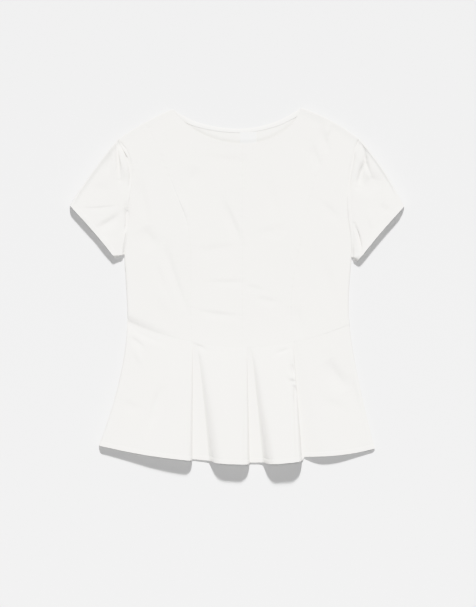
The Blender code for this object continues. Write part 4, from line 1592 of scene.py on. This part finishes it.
@dataclass
class Sleeve:
    """A short sleeve: a flat tube from the armhole seam to the cuff, gathered at its head."""

    half: Half
    finishes: Finishes
    folds: tuple[Fold, ...]
    form: FrontForm = FrontForm()
    hem: Hem = Hem(depth=0.0090)
    gap: float = 0.0001
    wall: float = 0.0010
    cuff_bow: float = -0.0018
    loft: float = 0.0078
    head_rise: float = 0.0024  # how much higher the gathered head stands
    head_reach: float = 0.060
    dip: float = 0.0044  # depth of the trough beside the armhole seam where it is deepest
    dip_width: float = 0.0023
    seam_fade: float = 0.010
    low_reach: float = 0.020  # near the underarm the sleeve leaves its seam more steeply
    low_short: float = 0.65
    fold_fade: float = 0.0024
    tube_edge: float = 0.0012
    tube_roll: float = 0.0008
    edge_share: float = 0.92
    edge_slope: float = 0.026
    low_power: int = 2  # how late the low edge opens towards the cuff
    top_power: int = 8  # and the top edge
    top_blend: Point = (0.4, 0.6)  # where the one passes into the other
    edge_columns: int = 3
    under_columns: int = 4
    fine_seam: float = 0.006  # reach of the close rows beside the seam
    fine_cuff: float = 0.0115  # and beside the cuff
    fine_rows: float = 0.0008
    fine_reach: float = 0.0090  # how far from an edge the columns stay close
    fine_step: float = 0.0009
    upper_columns: int = 150
    lower_columns: int = 50
    rows: int = 105
    line_points: int = 240

    def lines(self, down: Array) -> Array:
        """Lines across the sleeve from its low edge to its top edge, one for each share down."""
        half, sign = self.half, self.half.side.value
        span = np.linspace(0, 1, self.line_points)
        levels = half.underarm[1] + (half.shoulder[1] - half.underarm[1]) * span
        armhole = np.column_stack((self.form.pattern.side_x(half, levels) + sign * self.gap / 2, levels))
        armhole[0] += (sign * self.wall / 2, self.wall / 2)
        cuff = bowed(half.cuff_low, half.cuff_top, -sign * self.cuff_bow, span)
        low = bowed(tuple(armhole[0]), half.cuff_low, 0.0, down)
        top = bowed(tuple(armhole[-1]), half.cuff_top, sign * half.sleeve_bow, down)
        return patch(armhole, cuff, low, top, span, down)

    def edge_places(self) -> Array:
        """Distances from an edge of the columns beside it."""
        fine = np.arange(self.tube_roll, self.fine_reach - self.fine_step / 2, self.fine_step)
        return np.concatenate((roll_steps(self.tube_roll, self.edge_columns), fine))

    def rings(self, down: Array) -> tuple[Array, int]:
        """Rings of the tube, upper layer first.

        Args:
            down: Shares of the sleeve's length.

        Returns:
            x, y, distance to the nearer edge and share of the way from the low edge to the top edge,
            as rows by columns by 4, and how many columns the upper layer has.
        """
        rings = []
        for line in self.lines(down):
            along = lengths(line)
            length = along[-1]
            roll, fold = self.edge_places(), roll_steps(self.tube_edge, self.under_columns)[1:]
            inner = np.linspace(self.fine_reach, length - self.fine_reach, self.upper_columns)
            upper = np.concatenate((roll, inner, length - roll[::-1]))
            inner = np.linspace(self.tube_edge, length - self.tube_edge, self.lower_columns)[::-1]
            at = np.concatenate((upper, length - fold, inner, fold[::-1]))
            to_edge = np.minimum(at, length - at)
            rings.append(np.column_stack((spread(line, along, at), to_edge, at / length)))
        return np.array(rings), len(upper)

    def height(self, x: Array, y: Array, to_edge: Array, up: Array, down: Array) -> Array:
        """Height of the upper layer, from the armhole's seam to the cuff.

        It leaves its seam within seam_fade, and sooner near the underarm, is highest at its head or
        its cuff, and has a trough beside the seam and a crest along its top edge.

        Args:
            x: Places, seen from above.
            y: Places, seen from above.
            to_edge: Distance to the tube's nearer edge.
            up: Share of the way from the low edge to the top edge.
            down: Share of the sleeve's length of each row.

        Returns:
            The seam's height blended into the free height, with folds, pressed down at both edges by
            a rounding that widens late, as down^low_power and down^top_power, towards the cuff.
        """
        middle = self.wall / 2 + self.tube_edge
        away = np.hypot(x - x[:1], y - y[:1])
        near_low = bell(y - self.half.underarm[1], self.low_reach)
        leave = 1 - bell(away, self.seam_fade * (1 - self.low_short * near_low))
        low_fill, top_fill = down[:, None] ** self.low_power, down[:, None] ** self.top_power
        free = self.loft + (self.half.cuff_loft - self.loft) * low_fill
        head = bell(np.hypot(x - self.half.shoulder[0], y - self.half.shoulder[1]), self.head_reach)
        free = free + self.head_rise * head
        held = np.maximum(self.form.height(x[0], y[0])[None] - middle, self.tube_edge)
        rise = held + (free - middle - held) * leave
        depth = self.dip * self.form.depth(f"armhole_{self.half.side.word}", y[:1])
        rise = rise - depth * bell(away - self.half.dip_away, self.dip_width)
        rise = rise + lifted(self.folds, x, y) * (1 - bell(away, self.fold_fade))
        rise = np.maximum(rise, self.tube_edge)
        top = ramp(up, *self.top_blend)
        fill = low_fill * (1 - top) + top_fill * top
        roll = self.tube_roll + self.half.cuff_roll * fill
        crest = self.half.sleeve_crest * bell(to_edge, self.half.sleeve_crest_width) * top
        pressed_down = pressed(to_edge, roll, self.edge_slope, self.edge_share)
        return middle + rise * pressed_down + crest * rounded(to_edge, roll)

    def build(self) -> list[Object]:
        """Makes the sleeve and the stitches of its cuff."""
        word = self.half.side.word
        length = float(np.hypot(*np.subtract(self.half.cuff_top, self.half.shoulder)))
        down = marks(length, length / self.rows, self.fine_seam, self.fine_cuff, self.fine_rows)
        rings, upper = self.rings(down)
        x, y, to_edge, up = np.moveaxis(rings, -1, 0)
        z = self.wall / 2 + self.tube_edge * (1 - rounded(to_edge, self.tube_edge))
        z[:, :upper] = self.height(x, y, to_edge, up, down)[:, :upper]
        middle = np.dstack((x, y, z))
        beside, total = len(self.edge_places()), middle.shape[1]
        shown = slice(beside, upper - beside)
        if self.half.side is Side.LEFT:
            middle = middle[:, ::-1]
            shown = slice(total - upper + beside, total - beside)
        shell = self.hem.shell(f"sleeve_{word}", middle, self.wall, True, shown)
        return self.hem.sewn(shell, f"cuff_stitches_{word}", shown, self.finishes)


@dataclass
class Back:
    """The back bodice and back peplum, flat on the surface."""

    finishes: Finishes
    pattern: Pattern = Pattern()
    hem: Hem = Hem(extra=0.0)
    wall: float = 0.0012
    gap: float = 0.0001
    step: float = 0.0046
    hem_up: float = 0.0040  # how much higher its hem runs in the middle than the front's
    # Length of each piece, reach of its close rows at its top and at its end, and their distance
    bodice_rows: Four = (0.37, 0.045, 0.003, 0.0013)
    peplum_rows: Four = (0.225, 0.003, 0.0105, 0.0011)
    peplum_width: float = 0.45
    shoulder_points: int = 30
    neck_points: int = 120
    hem_margin: int = 2
    troughs: tuple[Fold, ...] = listed(
        Fold,
        (-0.12, 0.23, -0.07, 0.09, 0.0004, 0.007, 0.01, 0.005),
        (0.11, 0.21, 0.08, 0.06, 0.00035, 0.008, 0.01, -0.004),
        (-0.17, -0.03, -0.09, -0.06, 0.0004, 0.005, 0.007),
        (0.18, 0.0, 0.1, -0.06, 0.0004, 0.006, 0.008),
        (0.0, 0.2, 0.02, 0.07, 0.0003, 0.009, 0.007),
        (-0.15, -0.12, -0.19, -0.25, 0.0004, 0.007, 0.009),
        (-0.03, -0.14, -0.04, -0.28, 0.00035, 0.006, 0.008),
        (0.09, -0.13, 0.12, -0.27, 0.0004, 0.008, 0.006, 0.004),
        (0.17, -0.11, 0.21, -0.23, 0.0003, 0.007, 0.009),
    )

    def top_edge(self) -> Array:
        """Points along the left shoulder, the back neckline and the right shoulder."""
        parts = []
        for half, order in ((LEFT, 1), (RIGHT, -1)):
            x = np.linspace(half.shoulder[0], half.neck[0], self.shoulder_points)
            parts.append(np.column_stack((x, self.pattern.shoulder_y(half, x)))[::order])
        x = np.linspace(LEFT.neck[0], RIGHT.neck[0], self.neck_points)[1:-1]
        neckline = np.column_stack((x, self.pattern.neck_y(Layer.BACK, x)))
        return np.concatenate((parts[0], neckline, parts[1]))

    def flat(self, node: str, plan: Array) -> Shell:
        """A flat piece whose underside lies on the surface, but for a few soft troughs.

        Args:
            node: Name of the CAD node that it stands for.
            plan: Its plan.

        Returns:
            Its shell.
        """
        x, y = plan[..., 0], plan[..., 1]
        under = lifted(self.troughs, x, y)
        middle = np.dstack((x, y, (self.wall + under) / 2 + self.pattern.neck_bulge(x, y)))
        return Shell(node, middle, self.wall - under)

    def bodice(self) -> list[Object]:
        """The back bodice, in one piece from side to side."""
        edge = self.top_edge()
        along = lengths(edge)
        across = marks(along[-1], self.step)
        top = spread(edge, along, across * along[-1])
        length, *fine = self.bodice_rows
        down = marks(length, self.step, *fine)
        sides = []
        for half in (LEFT, RIGHT):
            end = float(self.pattern.waist_y(self.pattern.waist_end(half))) + self.gap / 2
            y = half.shoulder[1] + (end - half.shoulder[1]) * down
            inset = np.where(y > half.underarm[1], self.gap / 2, 0.0)
            sides.append(np.column_stack((self.pattern.side_x(half, y) - half.side.value * inset, y)))
        left, right = sides
        x = left[-1, 0] + (right[-1, 0] - left[-1, 0]) * across
        bottom = np.column_stack((x, self.pattern.waist_y(x) + self.gap / 2))
        top[0], top[-1] = left[0], right[0]
        shell = self.flat("back_bodice", patch(top, bottom, left, right, across, down))
        return shell.dress(shell.build(self.finishes.cotton))

    def peplum(self) -> list[Object]:
        """The back peplum and the stitches of its hem."""
        pattern = self.pattern
        length, *fine = self.peplum_rows
        down = marks(length, self.step, *fine)
        sides = []
        for half, corner, power in zip((LEFT, RIGHT), pattern.corners, pattern.flares):
            start_x = pattern.waist_end(half)
            start_y = float(pattern.waist_y(start_x)) - self.gap / 2
            x = start_x + (corner[0] - start_x) * down**power
            sides.append(np.column_stack((x, start_y + (corner[1] - start_y) * down)))
        left, right = sides
        across = marks(self.peplum_width, self.step)
        waist_x = left[0, 0] + (right[0, 0] - left[0, 0]) * across
        top = np.column_stack((waist_x, pattern.waist_y(waist_x) - self.gap / 2))
        hem_x = pattern.corners[0][0] + (pattern.corners[1][0] - pattern.corners[0][0]) * across
        bottom = np.column_stack((hem_x, pattern.back_hem_y(hem_x, self.hem_up)))
        shell = self.flat("back_peplum", patch(top, bottom, left, right, across, down))
        columns = slice(self.hem_margin, -self.hem_margin)
        return self.hem.sewn(shell, "back_hem_stitches", columns, self.finishes)

    def build(self) -> list[Object]:
        """Makes both pieces."""
        return [*self.bodice(), *self.peplum()]


@dataclass
class NeckTrim:
    """The binding and the bare label inside the back neck."""

    finishes: Finishes
    pattern: Pattern = Pattern()
    base: float = 0.0013
    binding_width: float = 0.0068
    binding_room: float = 0.93  # greatest share of the way to the front's edge that it covers
    binding_spread: float = 0.40  # how much wider it lies at its ends
    binding_sides: Point = (0.16, 0.45)  # shares of its width that round off above and below
    binding_dent: Triple = (0.70, 0.06, 0.08)  # stitches: place, width, depth
    binding_rise: float = 0.0005
    binding_middle: Point = (0.30, 0.35)  # shares of the rise at its edges, and what its crown adds
    binding_wall: Point = (0.35, 0.60)  # the same for its thickness
    binding_inset: float = 0.0004
    binding_ends: Point = (-0.1095, 0.1105)
    binding_grid: tuple[int, int] = (150, 15)
    binding_cut: float = 0.0136
    stitches: StitchLine = StitchLine(pitch=0.0025, length=0.0019)
    stitch_up: float = 0.0013
    stitch_margin: int = 3
    label_x: float = 0.0200
    label_size: Point = (0.0290, 0.0215)
    label_wall: float = 0.0005
    label_tuck: float = 0.0006  # how far it reaches under the binding
    label_curl: float = 0.0002
    label_sag: float = 0.25  # share of the curl in the middle of its free edge
    label_grid: tuple[int, int] = (31, 19)

    def binding(self) -> list[Object]:
        """A folded strip carried along the neckline.

        Its profile is rounded above, thins out below and sinks in at its stitches. It is wider
        towards its ends, but no wider than binding_room of the way to the front's edge.

        Returns:
            The binding and its stitches.
        """
        count, rows = self.binding_grid
        x = np.linspace(*self.binding_ends, count)
        edge = np.column_stack((x, self.pattern.neck_y(Layer.BACK, x)))
        run = np.gradient(edge, axis=0)
        inward = np.column_stack((run[:, 1], -run[:, 0])) / np.hypot(*run.T)[:, None]
        share = np.linspace(0, 1, rows)
        above, below = self.binding_sides
        dent_at, dent_width, dent = self.binding_dent
        crown = rounded(share, above) * rounded(1 - share, below)
        crown = crown - dent * bell(share - dent_at, dent_width)
        room = (edge[:, 1] - self.pattern.neck_y(Layer.FRONT, x)) * np.abs(inward[:, 1])
        width = self.binding_width * (1 + self.binding_spread * (x / x[-1]) ** 2)
        width = np.minimum(width, self.binding_room * room)
        across = self.binding_inset + np.outer(width - self.binding_inset, share)
        plan = edge[:, None] + inward[:, None] * across[..., None]
        least, added = self.binding_middle
        height = self.base + self.binding_rise * (least + added * crown)
        height = height + self.pattern.neck_bulge(plan[..., 0], plan[..., 1])
        middle = np.dstack((plan, height)).transpose(1, 0, 2)
        least, added = self.binding_wall
        wall = np.broadcast_to((self.binding_rise * (least + added * crown))[:, None], (rows, count))
        shell = Shell("back_neck_binding", middle, wall, round_rims=(True, True, True, True))
        piece = shell.build(self.finishes.binding)
        columns = slice(self.stitch_margin, -self.stitch_margin)
        stitches = self.stitches.sew(
            "binding_stitches", shell, self.stitch_up, columns, self.finishes.thread
        )
        flat = (self.binding_cut, shell.cut_size()[0])
        return shell.dress(piece, ["back_bodice_cloth"], [stitches], Slot.BINDING, flat)

    def label(self) -> list[Object]:
        """A bare satin label, tucked under the binding, its free corners slightly raised."""
        width, height = self.label_size
        top = float(self.pattern.neck_y(Layer.BACK, self.label_x)) - self.binding_width + self.label_tuck
        columns, rows = self.label_grid
        u, v = np.meshgrid(np.linspace(-1, 1, columns), np.linspace(0, 1, rows))
        x = self.label_x + u * width / 2
        y = top - v * height
        curl = self.label_curl * v * (self.label_sag + (1 - self.label_sag) * u**2)
        z = self.base + self.label_wall / 2 + curl + self.pattern.neck_bulge(x, y)
        rims = (False, True, True, True)
        shell = Shell("neck_label", np.dstack((x, y, z)), self.label_wall, round_rims=rims)
        piece = shell.build(self.finishes.label)
        return shell.dress(piece, ["back_bodice_cloth"], slot=Slot.LABEL)

    def build(self) -> list[Object]:
        """Makes the binding with its stitches, and the label."""
        return [*self.binding(), *self.label()]


LEFT_SLEEVE_FOLDS = listed(
    Fold,
    (-0.2186, 0.268, -0.2115, 0.19, -0.0058, 0.0034, 0.0038, -0.001),
    (-0.2072, 0.255, -0.1956, 0.229, 0.006, 0.0026, 0.0034),
    (-0.212, 0.24, -0.203, 0.206, 0.0012, 0.0024, 0.0026),
    (-0.226, 0.24, -0.233, 0.202, -0.0016, 0.004, 0.005),
    (-0.217, 0.188, -0.191, 0.19, -0.0018, 0.013, 0.016),
    (-0.28, 0.14, -0.215, 0.145, -0.0008, 0.002, 0.006, 0.002),
    (-0.256, 0.101, -0.21, 0.13, -0.0026, 0.0056, 0.01, 0.002),
    (-0.201, 0.144, -0.195, 0.108, -0.0034, 0.004, 0.0034, 0.001),
    (-0.204, 0.108, -0.206, 0.064, 0.0012, 0.0036, 0.003),
    (-0.278, 0.13, -0.264, 0.112, 0.001, 0.005, 0.005),
    (-0.242, 0.088, -0.228, 0.07, 0.0012, 0.006, 0.006),
    (-0.268, 0.178, -0.224, 0.17, -0.0007, 0.009, 0.012),
)
RIGHT_SLEEVE_FOLDS = listed(
    Fold,
    (0.2262, 0.264, 0.2425, 0.194, -0.004, 0.0036, 0.0038, 0.004),
    (0.2315, 0.228, 0.2185, 0.178, -0.0062, 0.0052, 0.0054, 0.001),
    (0.2166, 0.26, 0.2066, 0.22, 0.005, 0.0024, 0.0024),
    (0.218, 0.186, 0.266, 0.186, -0.0024, 0.012, 0.016, -0.002),
    (0.212, 0.196, 0.244, 0.164, -0.001, 0.008, 0.012),
    (0.211, 0.112, 0.224, 0.06, -0.004, 0.0024, 0.0028, -0.002),
    (0.256, 0.15, 0.274, 0.12, -0.0012, 0.007, 0.008),
    (0.238, 0.142, 0.244, 0.1, 0.001, 0.006, 0.007),
    (0.264, 0.134, 0.276, 0.122, 0.001, 0.005, 0.006),
)


@dataclass(frozen=True)
class Studio:
    """The pale floor, the soft light and the camera straight above the photograph's middle."""

    frame_height: float = 1.0926  # what 607 pixels of the photograph cover on the surface
    centre: Point = (0.0018, -0.0315)
    camera_height: float = 6.0
    sensor: float = 36.0
    floor_half: float = 6.0
    floor_drop: float = 0.0002
    key_elevation: float = 35.0
    key_azimuth: float = 3.0
    key_strength: float = 4.36
    key_angle: float = 8.0
    fill: float = 0.15
    bounce_place: Triple = (0.0, -4.2, 3.6)
    bounce_size: float = 5.5
    bounce_power: float = 90.0
    top_place: Triple = (0.0, 0.0, 7.5)
    top_size: float = 2.5
    top_power: float = 166.0

    def floor(self) -> None:
        """Lays the floor just below the cloth."""
        corners = np.array(((-1, -1), (1, -1), (1, 1), (-1, 1)), float) * self.floor_half
        points = np.column_stack((corners, np.full(4, -self.floor_drop)))
        mesh = bpy.data.meshes.new("floor")
        mesh.from_pydata(points.tolist(), [], [(0, 1, 2, 3)])
        mesh.materials.append(FloorFinish().material())
        new_object("floor", mesh)

    def panel(self, name: str, place: Triple, size: float, power: float) -> None:
        """A square panel of light that faces the frame's middle.

        Args:
            name: Its name.
            place: Where its middle is.
            size: Length of its sides.
            power: Its power in watts.
        """
        lamp = bpy.data.lights.new(name, "AREA")
        lamp.shape = "SQUARE"
        lamp.size = size
        lamp.energy = power
        panel = new_object(name, lamp)
        panel.location = place
        panel.rotation_euler = Vector(place).to_track_quat("Z", "Y").to_euler()

    def light(self) -> None:
        """A key light from beyond the neck, panels below the hem and overhead, and an even fill."""
        lamp = bpy.data.lights.new("key", "SUN")
        lamp.energy = self.key_strength
        lamp.angle = float(np.radians(self.key_angle))
        key = new_object("key", lamp)
        up, side = np.radians(self.key_elevation), np.radians(self.key_azimuth)
        towards = Vector((np.sin(side) * np.cos(up), np.cos(side) * np.cos(up), np.sin(up)))
        key.rotation_euler = towards.to_track_quat("Z", "Y").to_euler()
        key.location = towards * self.camera_height
        self.panel("bounce", self.bounce_place, self.bounce_size, self.bounce_power)
        self.panel("softbox", self.top_place, self.top_size, self.top_power)
        world = bpy.data.worlds.new("studio")
        world.use_nodes = True
        background = world.node_tree.nodes["Background"]
        background.inputs["Color"].default_value = (1.0, 1.0, 1.0, 1.0)
        background.inputs["Strength"].default_value = self.fill
        bpy.context.scene.world = world

    def camera(self) -> None:
        """A long lens that looks straight down, so that the frame covers the photograph's."""
        lens = bpy.data.cameras.new("camera")
        lens.sensor_width = self.sensor
        lens.lens = self.sensor * self.camera_height / self.frame_height
        camera = new_object("camera", lens)
        camera.location = (*self.centre, self.camera_height)
        bpy.context.scene.camera = camera

    def build(self) -> None:
        """Sets up the floor, the light, the camera and plain display colours."""
        self.floor()
        self.light()
        self.camera()
        bpy.context.scene.view_settings.view_transform = "Khronos PBR Neutral"


def main() -> None:
    """Builds the studio and every piece of the top, and reports each piece."""
    logging.basicConfig(level=logging.INFO, format="%(name)s: %(message)s")
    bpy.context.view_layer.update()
    Studio().build()
    finishes = Finishes.made()
    parts = (
        Back(finishes),
        NeckTrim(finishes),
        FrontBodice(finishes),
        Sleeve(LEFT, finishes, LEFT_SLEEVE_FOLDS),
        Sleeve(RIGHT, finishes, RIGHT_SLEEVE_FOLDS),
        FrontPeplum(finishes),
    )
    for part in parts:
        for piece in part.build():
            LOG.info("%s: %d faces", piece.name, len(piece.data.polygons))


if __name__ == "__main__":
    main()
